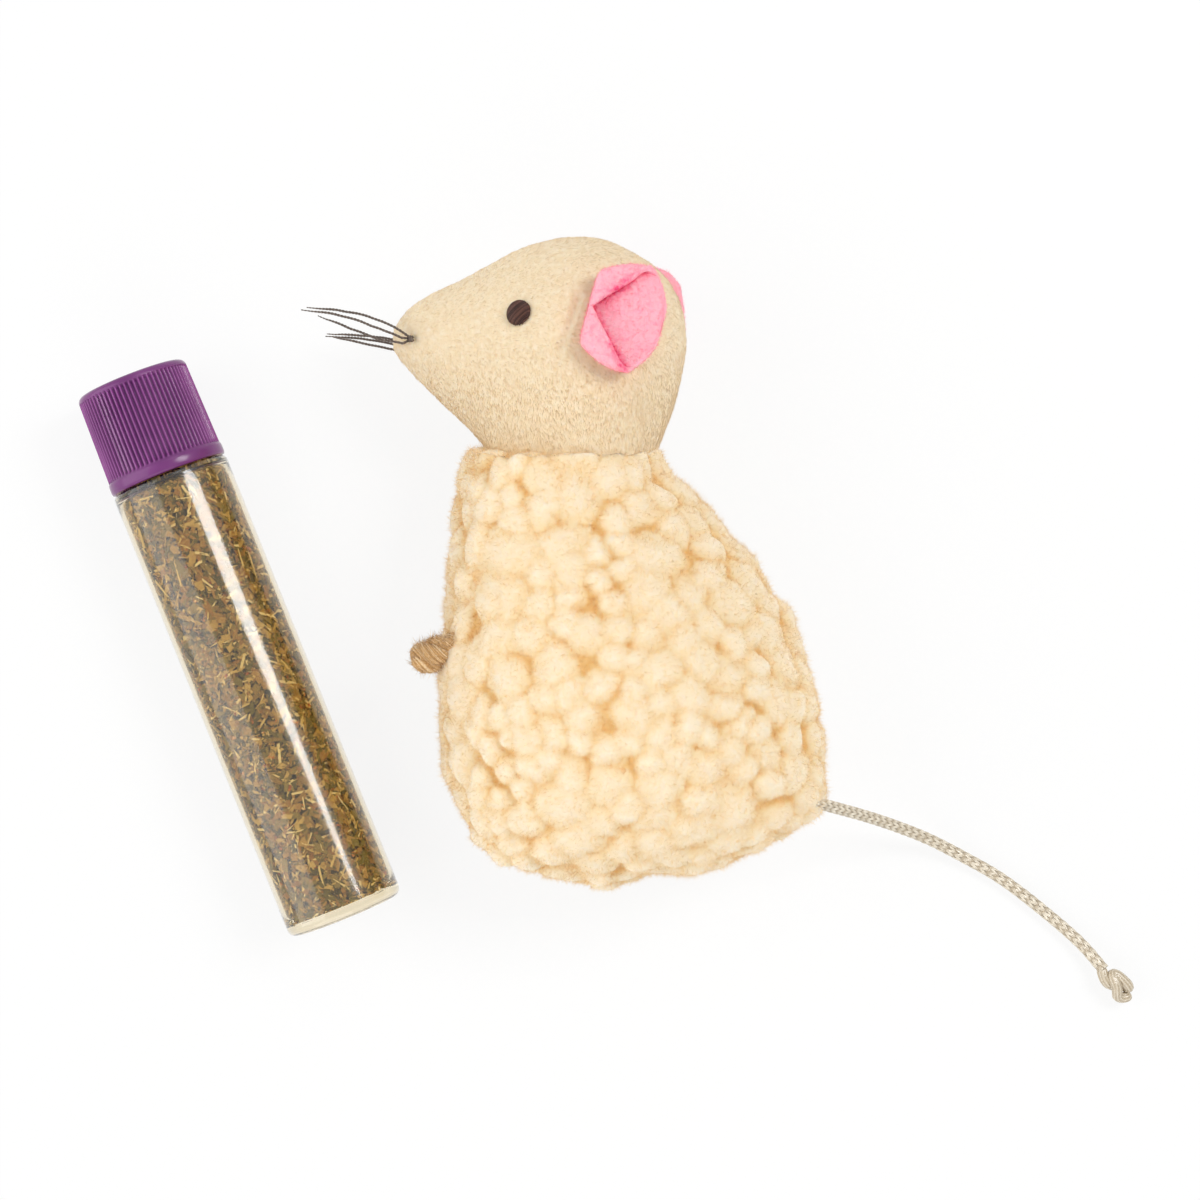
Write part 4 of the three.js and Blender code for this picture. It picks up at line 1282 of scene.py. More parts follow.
@dataclass
class PlushHead:
    """The stuffed head: two plush sides sewn round the middle, with a dart below each ear."""

    voxel: float = 1.3 * MM
    slack: float = -0.15 * MM
    swell: float = 0.5 * MM
    neck_depth: float = 4.0 * MM
    neck_draw: float = 0.95
    seam_width: float = 0.7 * MM
    seam_depth: float = 0.3 * MM
    dart_mm: tuple[Pair, ...] = ((-8.5, 63.4), (-11.9, 52.9))
    dart_width: float = 0.7 * MM
    dart_depth: float = 0.5 * MM
    dart_from_seam: Pair = (2 * MM, 6 * MM)
    dart_fade: float = 0.7
    sewn_in: float = 0.6 * MM
    seam_held: float = 0.7 * MM
    neck_held: float = 1.0 * MM
    dimple_depth: float = 0.45 * MM
    dimple_reach: float = 1.5 * MM
    uneven: Layers = ((0.16 * MM, 5 * MM, 51), (0.06 * MM, 1.4 * MM, 52))
    nap_back: Triple = (1.0, 0.1, 0.0)
    nap_down: Triple = (0.12, -1.0, 0.0)
    nap_span: Pair = (46 * MM, 63 * MM)
    nap_shares: Pair = (0.25, 0.95)
    swirl: float = 0.28
    swirl_size: float = 2.2 * MM
    eye_clear: float = 2.35 * MM
    bare_neck: float = 0.3 * MM
    fibres: int = 47000
    fibre_pieces: int = 2
    fibre_length: float = 0.85 * MM
    fibre_lengths: Pair = (0.6, 1.15)
    fibre_longest: float = 1.25
    fibre_shorter: float = 0.35
    shorter_span: Pair = (44 * MM, 60 * MM)
    fibre_width: float = 0.075 * MM
    fibre_stand: Pair = (0.14, 0.32)
    fibre_loose: float = 0.15
    fibre_root_mm: float = 0.1
    tone: float = 0.5
    fibre_tone: float = 0.12
    clump_tone: float = 0.1
    clump_size: float = 1.3 * MM
    dart_painted_shade: float = 0.3
    seed: int = 43
    skin: Skin | None = None

    def out_of_middle(self, points: Array) -> Array:
        """How far points lie out of the seam's plane, towards the near side."""
        return (points - HEAD_MIDDLE) @ HEAD_OUT

    def in_dart(self, points: Array) -> Array:
        """How deep points lie in the darts below the ears, from 0 to 1."""
        start, end = np.array(self.dart_mm) * MM
        share, gap = off_line(points, start, end - start)
        flank = ease(*self.dart_from_seam, np.abs(self.out_of_middle(points)))
        return flank * np.exp(-(gap / self.dart_width) ** 2) * (1 - self.dart_fade * share)

    def filled(self) -> Skin:
        """The stuffed form with its seam, darts and whisker dimples."""
        solid = solid_skin("head_near_panel", "head_far_panel", "head_stuffing")
        sewn_in = solid.points[:, 1] < NECK_SEAM + self.sewn_in
        solid.points[sewn_in] = HEAD_MIDDLE + (solid.points[sewn_in] - HEAD_MIDDLE) * self.neck_draw
        solid.points[sewn_in, 1] -= self.neck_depth
        slack = skin_round(solid, self.voxel, EASING).pushed(-self.slack)
        seam = np.abs(self.out_of_middle(slack.points)) < self.seam_held
        neck = slack.points[:, 1] < NECK_SEAM - self.neck_held
        skin = finer(Filling().swell(slack, seam | neck, self.swell), LEVELS)
        points = skin.points
        sink = self.seam_depth * np.exp(-(self.out_of_middle(points) / self.seam_width) ** 2)
        sink += self.dart_depth * self.in_dart(points)
        for side in Side:
            low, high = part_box(f"{side.value}_whisker_stitch")
            gap = norm(points - np.array((low + high) / 2))
            sink += self.dimple_depth * np.exp(-(gap / self.dimple_reach) ** 2)
        return skin.pushed(-(sink - layered(points, self.uneven)))

    def pile_way(self, points: Array, normals: Array) -> Array:
        """Which way the nap lies: back from the nose, and down towards the neck.

        Args:
            points: Places on the head.
            normals: The outward direction there.

        Returns:
            A direction along the surface for each place.
        """
        least, most = self.nap_shares
        down = 1 - ease(*self.nap_span, points[:, 1])
        down = np.maximum(down * most, least)[:, None]
        way = (1 - down) * np.array(self.nap_back) + down * np.array(self.nap_down)
        swirl = np.stack([lumps(points, self.swirl_size, 61 + k) for k in range(3)], axis=1)
        way = way + self.swirl * swirl
        return unit(way - normals * np.einsum("ij,ij->i", way, normals)[:, None])

    def nap(self, rng: Generator) -> Skin:
        """Pile fibres that lie along the nap.

        Args:
            rng: The seeded source of chance.

        Returns:
            One piece's fibres.
        """
        roots, normals, _ = self.skin.scatter(self.fibres, rng)
        keep = np.ones(len(roots), dtype=bool)
        for side in Side:
            low, high = box_of(f"{side.value}_eye")
            keep &= norm(roots - (low + high) / 2) > self.eye_clear
        keep &= roots[:, 1] > NECK_SEAM + self.bare_neck
        roots, normals = roots[keep], normals[keep]
        way = self.pile_way(roots, normals)
        loose = unit(rng.normal(size=roots.shape))
        stand = rng.uniform(*self.fibre_stand, (len(roots), 1))
        ways = unit(normals * stand + way + self.fibre_loose * loose)
        shorter = self.fibre_shorter * ease(*self.shorter_span, roots[:, 1])
        long = self.fibre_length * (self.fibre_longest - shorter)
        lengths = long * rng.uniform(*self.fibre_lengths, len(roots))
        # The tone rises and falls in random clumps, and painted shade darkens it along the darts below the
        # ears.
        clump = self.clump_tone * lumps(roots, self.clump_size, 71) - self.dart_painted_shade * self.in_dart(roots)
        tones = np.clip(self.tone + clump + rng.normal(0, self.fibre_tone, len(roots)), 0, 1)
        return needles(roots - normals * self.fibre_root_mm * MM, ways, lengths, self.fibre_width, tones)

    def build(self) -> list[Object]:
        """Make the head and its pile."""
        rng = np.random.default_rng(self.seed)
        self.skin = self.filled().in_tone(self.tone)
        head = self.skin.build("plush_head", BrushedPlush().build())
        settle(head, Body.MOUSE, "plush", "head_near_panel", "head_far_panel", "head_stuffing")
        fibre = PileFibre(
            name="polyester_plush_pile_sheared", dark="#E0CFAF", middle="#EBDCC2", light="#F1E7D6",
            past=0.0).build()
        pieces = [head]
        for number in range(self.fibre_pieces):
            piece = self.nap(rng).build(f"plush_pile_{number + 1}", fibre, smooth=False)
            pieces.append(settle(piece, Body.MOUSE, "plush"))
        return pieces


@dataclass
class FeltEar:
    """One ear, cut from felt with its front edges folded in."""

    side: Side
    cut: Pair = (24.0 * MM, 15.0 * MM)
    cut_area: float = 300e-6
    fibres: int = 16000
    fibre_length: float = 0.6 * MM
    fibre_width: float = 0.05 * MM
    look_round: int = 24
    look_reach: float = 9.0 * MM
    look_lean: float = 1.02
    look_off: float = 0.05
    look_even: int = 16
    open_limits: Pair = (0.22, 0.92)
    tone_shares: Pair = (0.15, 0.85)
    creases_mm: tuple[tuple[float, ...], ...] = (
        (-6.3, 61.7, 2.1, 67.7, 0.55, 0.3), (-6.3, 61.7, -1.2, 51.8, 0.85, 0.4))
    crease_width: float = 0.8 * MM
    crease_painted_shade: float = 0.8
    far_fold: float = 0.6 * MM
    far_fold_span: Pair = (62 * MM, 68 * MM)
    far_tuck: float = 1.1 * MM
    far_tuck_span: Pair = (69.5 * MM, 72.5 * MM)
    far_show: float = 0.8 * MM
    far_show_at: float = 67.5 * MM
    far_show_reach: float = 2.2 * MM
    uneven: Layers = ((0.06 * MM, 0.9 * MM, 81), (0.03 * MM, 0.4 * MM, 82))
    fibre_stand: float = 0.22
    fibre_lengths: Pair = (0.5, 1.2)
    fibre_tone: float = 0.2
    fibre_root_mm: float = 0.03
    seed: int = 45
    fibre_finish: PileFibre = PileFibre(
        name="wool_blend_felt_fibre_matted", dark=PressedFelt.fold, middle=PressedFelt.middle,
        light="#FFC4CF", past=0.0)

    def painted_crease_shade(self, points: Array) -> Array:
        """Painted shade along the two folds of the near ear, each deepest at its own share of the way."""
        shade = np.zeros(len(points))
        for x0, y0, x1, y1, deepest, spread in self.creases_mm:
            start, line = np.array([x0, y0]) * MM, np.array([x1 - x0, y1 - y0]) * MM
            share, gap = off_line(points, start, line)
            shade += np.exp(-(gap / self.crease_width) ** 2) * np.exp(-((share - deepest) / spread) ** 2)
        return np.clip(shade, 0, 1)

    def openness(self, skin: Skin, rng: Generator) -> Array:
        """How much of its surroundings each point can see past the folds.

        Args:
            skin: The ear.
            rng: The seeded source of chance.

        Returns:
            From 0, deep in a fold, to 1, in the open.
        """
        search = skin.tree()
        seen = np.zeros(len(skin.points))
        normals = skin.normals()
        starts = skin.points + normals * self.look_off * MM
        for spread in unit(rng.normal(size=(self.look_round, 3))):
            for i, (place, way) in enumerate(zip(starts, unit(normals * self.look_lean + spread))):
                hit = search.ray_cast(Vector(place), Vector(way), self.look_reach)
                seen[i] += hit[0] is None
        return skin.averaged(seen / self.look_round, self.look_even)[:, 0]

    def build(self) -> list[Object]:
        """Make the ear and its surface fibres."""
        rng = np.random.default_rng(self.seed + self.side.out)
        skin = finer(solid_skin(f"{self.side.value}_ear").welded(), LEVELS)
        # Painted shade: the tone drops where the folds hide the surroundings and, on the near ear, along its
        # two creases.
        least, by_light = self.tone_shares
        tone = least + by_light * ease(*self.open_limits, self.openness(skin, rng))
        if self.side is Side.NEAR:
            tone = tone * (1 - self.crease_painted_shade * self.painted_crease_shade(skin.points))
        else:
            along = skin.points[:, 1].copy()
            shown = np.exp(-((along - self.far_show_at) / self.far_show_reach) ** 2)
            folded = 1 - ease(*self.far_fold_span, along)
            skin.points[:, 0] += self.far_show * shown - self.far_fold * folded
            skin.points[:, 1] -= self.far_tuck * ease(*self.far_tuck_span, along)
        skin = skin.pushed(layered(skin.points, self.uneven))
        skin.values["tone"] = tone
        body = Body.NEAR_EAR if self.side is Side.NEAR else Body.FAR_EAR
        ear = skin.build(f"{self.side.value}_felt_ear", PressedFelt().build())
        settle(ear, body, "felt", f"{self.side.value}_ear")
        roots, normals, beside = skin.scatter(self.fibres, rng)
        ways = unit(normals * self.fibre_stand + unit(rng.normal(size=roots.shape)))
        lengths = self.fibre_length * rng.uniform(*self.fibre_lengths, len(roots))
        # Each fibre takes the ear's tone beside its root, painted shade included.
        tones = np.clip(tone[beside] + rng.normal(0, self.fibre_tone, len(roots)), 0, 1)
        hair = needles(roots - normals * self.fibre_root_mm * MM, ways, lengths, self.fibre_width, tones)
        piece = hair.build(f"{self.side.value}_felt_fibres", self.fibre_finish.build(), smooth=False)
        return [ear, settle(piece, body, "felt")]


@dataclass
class StitchedEye:
    """One eye, filled with slanting satin stitches."""

    side: Side
    thread: float = 0.28 * MM
    spacing: float = 0.24 * MM
    slant: float = math.radians(38)
    stops: int = 17
    sides: int = 8
    thread_high: float = 0.42
    uneven_end: float = 0.05
    dome_share: float = 0.95
    ground_tone: float = 0.3
    thread_tone: float = 0.5
    thread_tone_spread: float = 0.28
    seed: int = 47
    finish: SpunThread = SpunThread(
        name="rayon_embroidery_thread_stitched", dark="#24130F", middle="#452A22", light="#755043",
        rough=0.5, gloss=0.3, grain_mm=0.2, depth_mm=0.04)

    def build(self) -> list[Object]:
        """Make the stitches over the solid's dome."""
        ground = solid_skin(f"{self.side.value}_eye").in_tone(self.ground_tone)
        solid = ground.points
        middle = (solid.min(axis=0) + solid.max(axis=0)) / 2
        _, _, axes = np.linalg.svd(solid - solid.mean(axis=0))
        up = axes[2] * np.sign(axes[2][2]) * self.side.out
        first = unit(np.array([math.cos(self.slant), math.sin(self.slant), 0]))
        first = unit(first - up * (first @ up))
        second = np.cross(up, first)
        rise = (solid - middle) @ up
        half = [np.abs((solid - middle) @ way).max() for way in (first, second)]
        rng = np.random.default_rng(self.seed)
        parts = [ground]
        count = int(2 * half[1] / self.spacing)
        for k in range(count):
            across = (k + 0.5) / count * 2 - 1
            reach = math.sqrt(1 - across ** 2)
            t = np.linspace(-1, 1, self.stops) * reach * (1 - rng.uniform(0.0, self.uneven_end))
            lift = np.sqrt(np.maximum(1.0 - t ** 2 - across ** 2, 0.0))
            height = rise.min() + (rise.max() - rise.min()) * lift * self.dome_share
            place = middle + t[:, None] * half[0] * first + across * half[1] * second + height[:, None] * up
            thread = swept(place, np.tile(up, (len(t), 1)), self.thread / 2,
                           self.thread * self.thread_high, self.sides)
            tone = self.thread_tone + rng.uniform(-self.thread_tone_spread, self.thread_tone_spread)
            parts.append(thread.in_tone(tone))
        piece = joined(parts).build(f"{self.side.value}_stitched_eye", self.finish.build())
        return [settle(piece, Body.MOUSE, "eye_thread", f"{self.side.value}_eye")]


@dataclass
class Whiskers:
    """The three thread whiskers of one side and the stitch that holds them."""

    side: Side
    ply: float = 0.13 * MM
    lay_length: float = 1.1 * MM
    sides: int = 6
    ply_reach: float = 0.8
    thinner: float = 0.55
    thinner_span: Pair = (0.75, 1.0)
    ply_tones: Pair = (0.4, 0.25)
    start_out: Triple = (0.0, 0.3, 1.0)
    slices: int = 14
    step: float = 0.12 * MM
    root_mm: float = 0.6
    loops: int = 4
    loop_turns: Pair = (0.5, 0.62)
    loop_half_mm: float = 0.5
    loop_rise_mm: Triple = (0.3, 0.5, 0.05)
    loop_stops: int = 13
    finish: SpunThread = SpunThread(
        name="polyester_thread_waxed", dark="#3A302A", middle="#5D5048", light="#8A7B6E", rough=0.5,
        gloss=0.45, grain_mm=0.15, depth_mm=0.03)

    def twisted(self, path: Array) -> Skin:
        """Two plies twisted round a line, thinning at its free end."""
        out, side = framed(path, np.array(self.start_out))
        run = run_along(path)
        thin = 1 - self.thinner * ease(*self.thinner_span, run / run[-1])
        first_tone, tone_step = self.ply_tones
        parts = []
        for k in range(2):
            turn = run / self.lay_length * math.tau + k * math.pi
            radial = turned(out, side, turn)
            line = path + radial * (self.ply * self.ply_reach * thin)[:, None]
            strand = swept(line, radial, self.ply * thin, self.ply * thin, self.sides)
            parts.append(strand.in_tone(first_tone + tone_step * k))
        return joined(parts)

    def centre_line(self, node: str) -> Array:
        """The middle line of a thread's solid, from its stitch outwards."""
        points = solid_skin(node).points
        order = np.argsort(-points[:, 0])
        groups = np.array_split(points[order], self.slices)
        return routed(np.array([group.mean(axis=0) for group in groups]), self.step)

    def build(self) -> list[Object]:
        """Make the whiskers and the stitch."""
        finish = self.finish.build()
        low, high = box_of(f"{self.side.value}_whisker_stitch")
        hole = (low + high) / 2
        out = HEAD_OUT * self.side.out
        pieces = []
        for number in range(1, 4):
            node = f"{self.side.value}_whisker_{number}"
            line = self.centre_line(node)
            start = routed(np.vstack([hole - out * self.root_mm * MM, line[0]]), self.step)
            piece = self.twisted(np.vstack([start[:-1], line])).build(f"{node}_thread", finish)
            pieces.append(settle(piece, Body.MOUSE, "whisker_thread", node))
        loops = []
        first, next_turn = self.loop_turns
        rise, fall, stacked = self.loop_rise_mm
        t = np.linspace(-1, 1, self.loop_stops)[:, None]
        for k in range(self.loops):
            turn = first + k * next_turn
            way = np.array([math.cos(turn), math.sin(turn), 0.0])
            bow = out * (rise - fall * t ** 2 + stacked * k) * MM
            loops.append(self.twisted(hole + way * t * self.loop_half_mm * MM + bow))
        stitch = joined(loops).build(f"{self.side.value}_whisker_knot", finish)
        return pieces + [settle(stitch, Body.MOUSE, "whisker_thread", f"{self.side.value}_whisker_stitch")]


@dataclass
class JutePaw:
    """One paw: the thick end of a jute rope, standing out of the front seam."""

    side: Side
    route_mm: tuple[Triple, ...] = (
        (5.5, 2.6, 0.0), (3.0, 1.4, 0.0), (0.8, 0.35, 0.0), (-1.0, -0.3, 0.0), (-2.75, -0.75, 0.0))
    plies: int = 3
    ply: float = 1.5 * MM
    ply_from_middle: float = 1.25 * MM
    lay_length: float = 10.0 * MM
    ply_lay: float = 7.0 * MM
    fibres: int = 95
    fibre: float = 0.17 * MM
    strays: int = 2600
    fibre_sides: int = 5
    fibre_shortest: int = 12
    fibre_reach: Pair = (0.9, 1.06)
    fibre_half: Pair = (0.3, 0.6)
    fibre_tones: Pair = (0.52, 0.2)
    core_sides: int = 16
    core_share: float = 0.94
    core_shade_tones: Pair = (0.26, 0.15)
    core_grain: float = 0.5 * MM
    start_out: Triple = (0.2, 0.3, 1.0)
    start_turn: float = 0.6
    drawn_in: Pair = (0.74, 0.26)
    drawn_span: Pair = (0.3, 0.62)
    end_from: float = 0.74
    end_length: float = 0.26
    end_closed: float = 0.93
    step: float = 0.22 * MM
    stray_stand: Pair = (0.1, 0.45)
    stray_mm: Pair = (0.5, 1.9)
    stray_width: float = 0.085 * MM
    seed: int = 48
    finish: SpunThread = SpunThread(
        name="jute_rope_twisted", dark="#9C6A38", middle="#E0B67C", light="#F8E4C0", rough=0.85, gloss=0.2,
        sheen=0.3, grain_mm=0.22, depth_mm=0.044)

    def fullness(self, share: Array) -> Array:
        """How thick the rope is along its way: drawn in at the seam, full, and rounded off at the end."""
        least, more = self.drawn_in
        drawn = least + more * ease(*self.drawn_span, share)
        at_end = np.clip((share - self.end_from) / self.end_length, 0, 1)
        return drawn * np.sqrt(1 - self.end_closed * at_end ** 2)

    def roped(self, axis: Array, rng: Generator) -> Skin:
        """Twisted plies, each a core under single fibres, its dark tone painted shade between them.

        Args:
            axis: The rope's middle line.
            rng: The seeded source of chance.

        Returns:
            The rope end, with the tone of each fibre.
        """
        run = run_along(axis)
        full = self.fullness(run / run[-1])
        out, side = framed(axis, np.array(self.start_out))
        dark, uneven = self.core_shade_tones
        parts = []
        for k in range(self.plies):
            turn = run / self.lay_length * math.tau + k * math.tau / self.plies + self.start_turn
            radial = turned(out, side, turn)
            line = axis + radial * (self.ply_from_middle * full)[:, None]
            ply_out, ply_side = framed(line, radial[0])
            thick = self.ply * full
            core = swept(line, ply_out, thick * self.core_share, thick * self.core_share, self.core_sides)
            # Painted shade: the core's dark tone shows in the gaps between the fibres.
            core.values["tone"] = np.clip(dark + uneven * lumps(core.points, self.core_grain, 95), 0, 1)
            parts.append(core)
            for _ in range(self.fibres):
                first = rng.integers(0, len(axis) // 2)
                part = slice(first, rng.integers(first + self.fibre_shortest, len(axis) + 1))
                spin = rng.uniform(0, math.tau) + run[part] / self.ply_lay * math.tau
                way = turned(ply_out[part], ply_side[part], spin)
                path = line[part] + way * (thick[part] * rng.uniform(*self.fibre_reach))[:, None]
                fibre = swept(path, way, self.fibre * rng.uniform(*self.fibre_half),
                              self.fibre * self.fibre_half[0], self.fibre_sides)
                parts.append(fibre.in_tone(np.clip(rng.normal(*self.fibre_tones), 0, 1)))
        return joined(parts)

    def build(self) -> list[Object]:
        """Make the rope end and its stray fibres."""
        rng = np.random.default_rng(self.seed + self.side.out)
        low, high = box_of(f"{self.side.value}_paw")
        half = float(high[1] - low[1]) / 2
        middle = np.array([low[0] + half, (low[1] + high[1]) / 2, (low[2] + high[2]) / 2])
        rope = self.roped(routed(middle + np.array(self.route_mm) * MM, self.step), rng)
        roots, normals, _ = rope.scatter(self.strays, rng)
        stand = rng.uniform(*self.stray_stand, (self.strays, 1))
        ways = unit(normals * stand + unit(rng.normal(size=roots.shape)))
        lengths = rng.uniform(*self.stray_mm, self.strays) * MM
        hair = needles(roots, ways, lengths, self.stray_width, rng.uniform(0.0, 1.0, self.strays))
        piece = joined([rope, hair]).build(f"{self.side.value}_jute_paw", self.finish.build())
        return [settle(piece, Body.MOUSE, "jute", f"{self.side.value}_paw")]


@dataclass
class CatnipPouch:
    """The cloth pouch behind the base seam, with its two closing tapes."""

    stops: int = 40
    crown_power: int = 4
    rim_share: float = 0.15
    crown_share: float = 0.85
    pull: float = 0.05
    pull_power: int = 6
    pull_shares: Pair = (0.96, 0.04)
    pucker: float = 0.12
    pucker_size: float = 0.25
    tapes: tuple[tuple[str, WovenCloth], ...] = (
        ("loop_tape",
         WovenCloth(name="nylon_loop_tape_napped", low="#D5D2C8", high="#EFEDE6", thread_mm=0.8)),
        ("hook_tape",
         WovenCloth(name="nylon_hook_tape_moulded", low="#C9C6BC", high="#E2E0D8", thread_mm=1.2)))

    def build(self) -> list[Object]:
        """Make the pouch as a crowned bag and dress the tapes."""
        low, high = box_of("catnip_pouch")
        middle, half = (low + high) / 2, (high - low) / 2
        count = self.stops
        turn = np.linspace(-1, 1, count)
        x, y = np.meshgrid(turn, turn, indexing="ij")
        puff = np.sqrt(np.maximum((1 - x ** self.crown_power) * (1 - y ** self.crown_power), 0))
        pull = 1 - self.pull * (1 - np.maximum(np.abs(x), np.abs(y)) ** self.pull_power)
        grid = np.stack([x, y, x * 0], axis=2).reshape(-1, 3)
        pucker = self.pucker * lumps(grid, self.pucker_size, 97).reshape(x.shape)
        least, by_pull = self.pull_shares
        wide = least + by_pull * pull
        sheets = []
        for out in (1, -1):
            z = out * (self.rim_share + self.crown_share * puff * (1 + pucker)) * half[2]
            sheets.append(np.stack([x * half[0] * wide, y * half[1] * wide, z], axis=2))
        grid = np.arange(count * count).reshape(count, count)
        quads = np.stack([grid[:-1, :-1], grid[1:, :-1], grid[1:, 1:], grid[:-1, 1:]], axis=2).reshape(-1, 4)
        rim = np.concatenate([grid[:-1, 0], grid[-1, :-1], grid[:0:-1, -1], grid[0, :0:-1]])
        step = np.roll(rim, -1)
        total = count * count
        walls = np.stack([rim, rim + total, step + total, step], axis=1)
        points = middle + np.vstack([sheet.reshape(-1, 3) for sheet in sheets])
        bag = Skin(points, np.vstack([quads, quads[:, ::-1] + total, walls]))
        piece = bag.build("catnip_pouch_bag", WovenCloth().build())
        settle(piece, Body.MOUSE, "pouch_cloth", "catnip_pouch")
        for node, finish in self.tapes:
            dress(node, finish.build())
        return [piece]


def dress(node: str, material: Material) -> None:
    """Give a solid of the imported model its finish."""
    mesh = frame["nodes"][node].data
    mesh.materials.clear()
    mesh.materials.append(material)
    log.info("%s: carried over from the model", node)


@dataclass
class RefillTube:
    """The clear tube of dried catnip, with its neck and its ribbed screw cap. Sizes in mm."""

    outer: float = 10.0
    wall: float = 0.72
    base: float = 1.8
    length: float = 79.0
    base_round: float = 1.4
    shoulder_round: float = 0.9
    neck: float = 7.8
    neck_wall: float = 1.2
    neck_top: float = 93.3
    thread_depth: float = 0.55
    thread_pitch: float = 3.0
    thread_from: float = 81.0
    thread_to: float = 90.0
    fill_from: float = 2.1
    fill_to: float = 79.2
    fill_radius: float = 9.12
    fill_depth: float = 0.95
    fill_crowding: float = 2.2
    base_share: float = 0.09
    core_inset: float = 0.75
    core_rows: int = 44
    core_segments: int = 48
    core_lumps: Layers = ((0.3, 1.6, 101),)
    core_shade_tone: float = 0.03
    core_shade_tones: Layers = ((0.1, 1.1, 102),)
    scrap_tilt: float = 0.38
    scrap_bend: float = 0.16
    scrap_bend_share: float = 0.8
    scrap_taper: Pair = (0.55, 1.0)
    scrap_curl: float = 0.12
    axis_ring: float = 0.02
    tube_segments: int = 160
    steps_per_rib: int = 8
    scraps: tuple[tuple[Scrap, int], ...] = (
        (Scrap.LEAF, 9300), (Scrap.CRUMB, 5200), (Scrap.STEM, 1250), (Scrap.FLECK, 400))
    cap_foot: float = 79.1
    cap_top: float = 96.4
    cap_ceiling: float = 94.9
    cap_radius: float = 10.0
    cap_top_radius: float = 9.45
    cap_round: float = 1.1
    cap_band: float = 2.0
    cap_bore: float = 8.6
    ribs: int = 72
    rib_depth: float = 0.5
    rib_sharp: float = 1.4
    rib_start: float = 0.5
    rib_end: Pair = (1.3, 1.05)
    # Tones of the cap: the band's own, painted light on the ribs, painted shade in their grooves.
    band_tone: float = 0.22
    rib_painted_light: float = 0.33
    groove_painted_shade: float = 0.55
    dish_depth: float = 0.12
    dish_radius: float = 6.6
    dish_slope: float = 1.2
    seed: int = 49
    liner_finish: MouldedPlastic = MouldedPlastic(
        name="polyethylene_liner_foamed", low="#EFEFEC", high="#F6F6F4", rough=0.7, grain_mm=0.5,
        depth_mm=0.06, spread=0.5)

    def placed(self, skin: Skin) -> Skin:
        """Bring a form made in mm round +Z to the tube's place."""
        joint = next(j for j in frame["record"]["behaviour"]["joints"] if j["name"] == "cap_turn")
        axis = unit(np.array(joint["axis"], dtype=float))
        across = np.cross(axis, UP)
        x, y, z = np.hsplit(skin.points * MM, 3)
        points = np.array(joint["pos_m"]) + x * across + y * -UP + z * axis
        return Skin(points, skin.faces, skin.values)

    def corner(self, radius: float, height: float, round_: float, up: bool,
               steps: int = 8) -> list[Pair]:
        """A rounded outer edge of a profile.

        Args:
            radius: The radius of the wall.
            height: The height of the end face.
            round_: The size of the rounding.
            up: Whether the end face is above the wall.
            steps: How many points it has.

        Returns:
            Points from the end face to the wall, or for an upper edge from the wall to the end face.
        """
        turns = np.linspace(0, math.pi / 2, steps)
        inner = radius - round_
        if up:
            return [(inner + round_ * math.cos(t), height - round_ + round_ * math.sin(t)) for t in turns]
        return [(inner + round_ * math.sin(t), height + round_ - round_ * math.cos(t)) for t in turns]

    def thread_ridge(self, radius: Array, height: Array, turn: Array) -> Array:
        """The screw thread round the outside of the neck."""
        phase = (height - self.thread_from) / self.thread_pitch - turn / math.tau
        gap = np.abs(phase - np.round(phase)) * self.thread_pitch
        ridge = self.thread_depth * (1 - ease(0.35, 0.85, gap))
        ends = ease(self.thread_from - 0.4, self.thread_from + 0.8, height)
        ends = ends * (1 - ease(self.thread_to - 0.8, self.thread_to + 0.4, height))
        return np.where(np.abs(radius - self.neck) < 0.01, ridge * ends, 0.0)

    def glass(self) -> Skin:
        """The tube's clear wall: outside, mouth and bore in one closed form."""
        bore = self.outer - self.wall
        mouth = self.neck - self.neck_wall
        outside = [(self.axis_ring, 0.0), (4.0, 0.0)] + self.corner(self.outer, 0.0, self.base_round, False)
        outside += [(self.outer, h) for h in np.linspace(4, self.length - 3, 30)]
        outside += self.corner(self.outer, self.length, self.shoulder_round, True)
        outside += [(self.neck + 0.5, self.length), (self.neck + 0.12, self.length + 0.12),
                    (self.neck, self.length + 0.5)]
        outside += [(self.neck, h) for h in np.linspace(self.length + 0.8, self.neck_top - 0.5, 70)]
        outside += self.corner(self.neck - 0.005, self.neck_top, 0.4, True, 4)
        inside = [(mouth + 0.3, self.neck_top), (mouth, self.neck_top - 0.3)]
        inside += [(mouth, h) for h in np.linspace(self.neck_top - 1, self.length - 0.6, 12)]
        inside += [(mouth + 0.6, self.length - self.wall), (bore - 1.0, self.length - self.wall - 0.1),
                   (bore - 0.3, self.length - self.wall - 0.4), (bore, self.length - self.wall - 1.1)]
        inside += [(bore, h) for h in np.linspace(self.length - 4, self.base + 2, 30)]
        inside += [(bore - 0.2, self.base + 0.7), (bore - 0.9, self.base), (4.0, self.base),
                   (self.axis_ring, self.base)]
        skin = revolved(outside + inside, self.tube_segments, self.thread_ridge)
        away = norm(skin.points[:, :2])
        polished = (away > self.outer - 0.4 * self.wall) | (skin.points[:, 2] < 0.5 * self.base)
        skin.values["tone"] = polished * 1.0
        return self.placed(skin)

    def flakes(self, rng: Generator) -> Skin:
        """The filling: a lumpy core, dark as painted shade between the scraps, under chopped leaf, crumbs and
        stems.

        Args:
            rng: The seeded source of chance.

        Returns:
            The filling, with the tone of each scrap.
        """
        rows = np.linspace(self.fill_from + 0.6, self.fill_to - 1.2, self.core_rows)
        wall = [(self.fill_radius - self.core_inset, h) for h in rows]
        core = revolved([(self.axis_ring, rows[0])] + wall + [(self.axis_ring, rows[-1])], self.core_segments)
        core = core.pushed(layered(core.points, self.core_lumps))
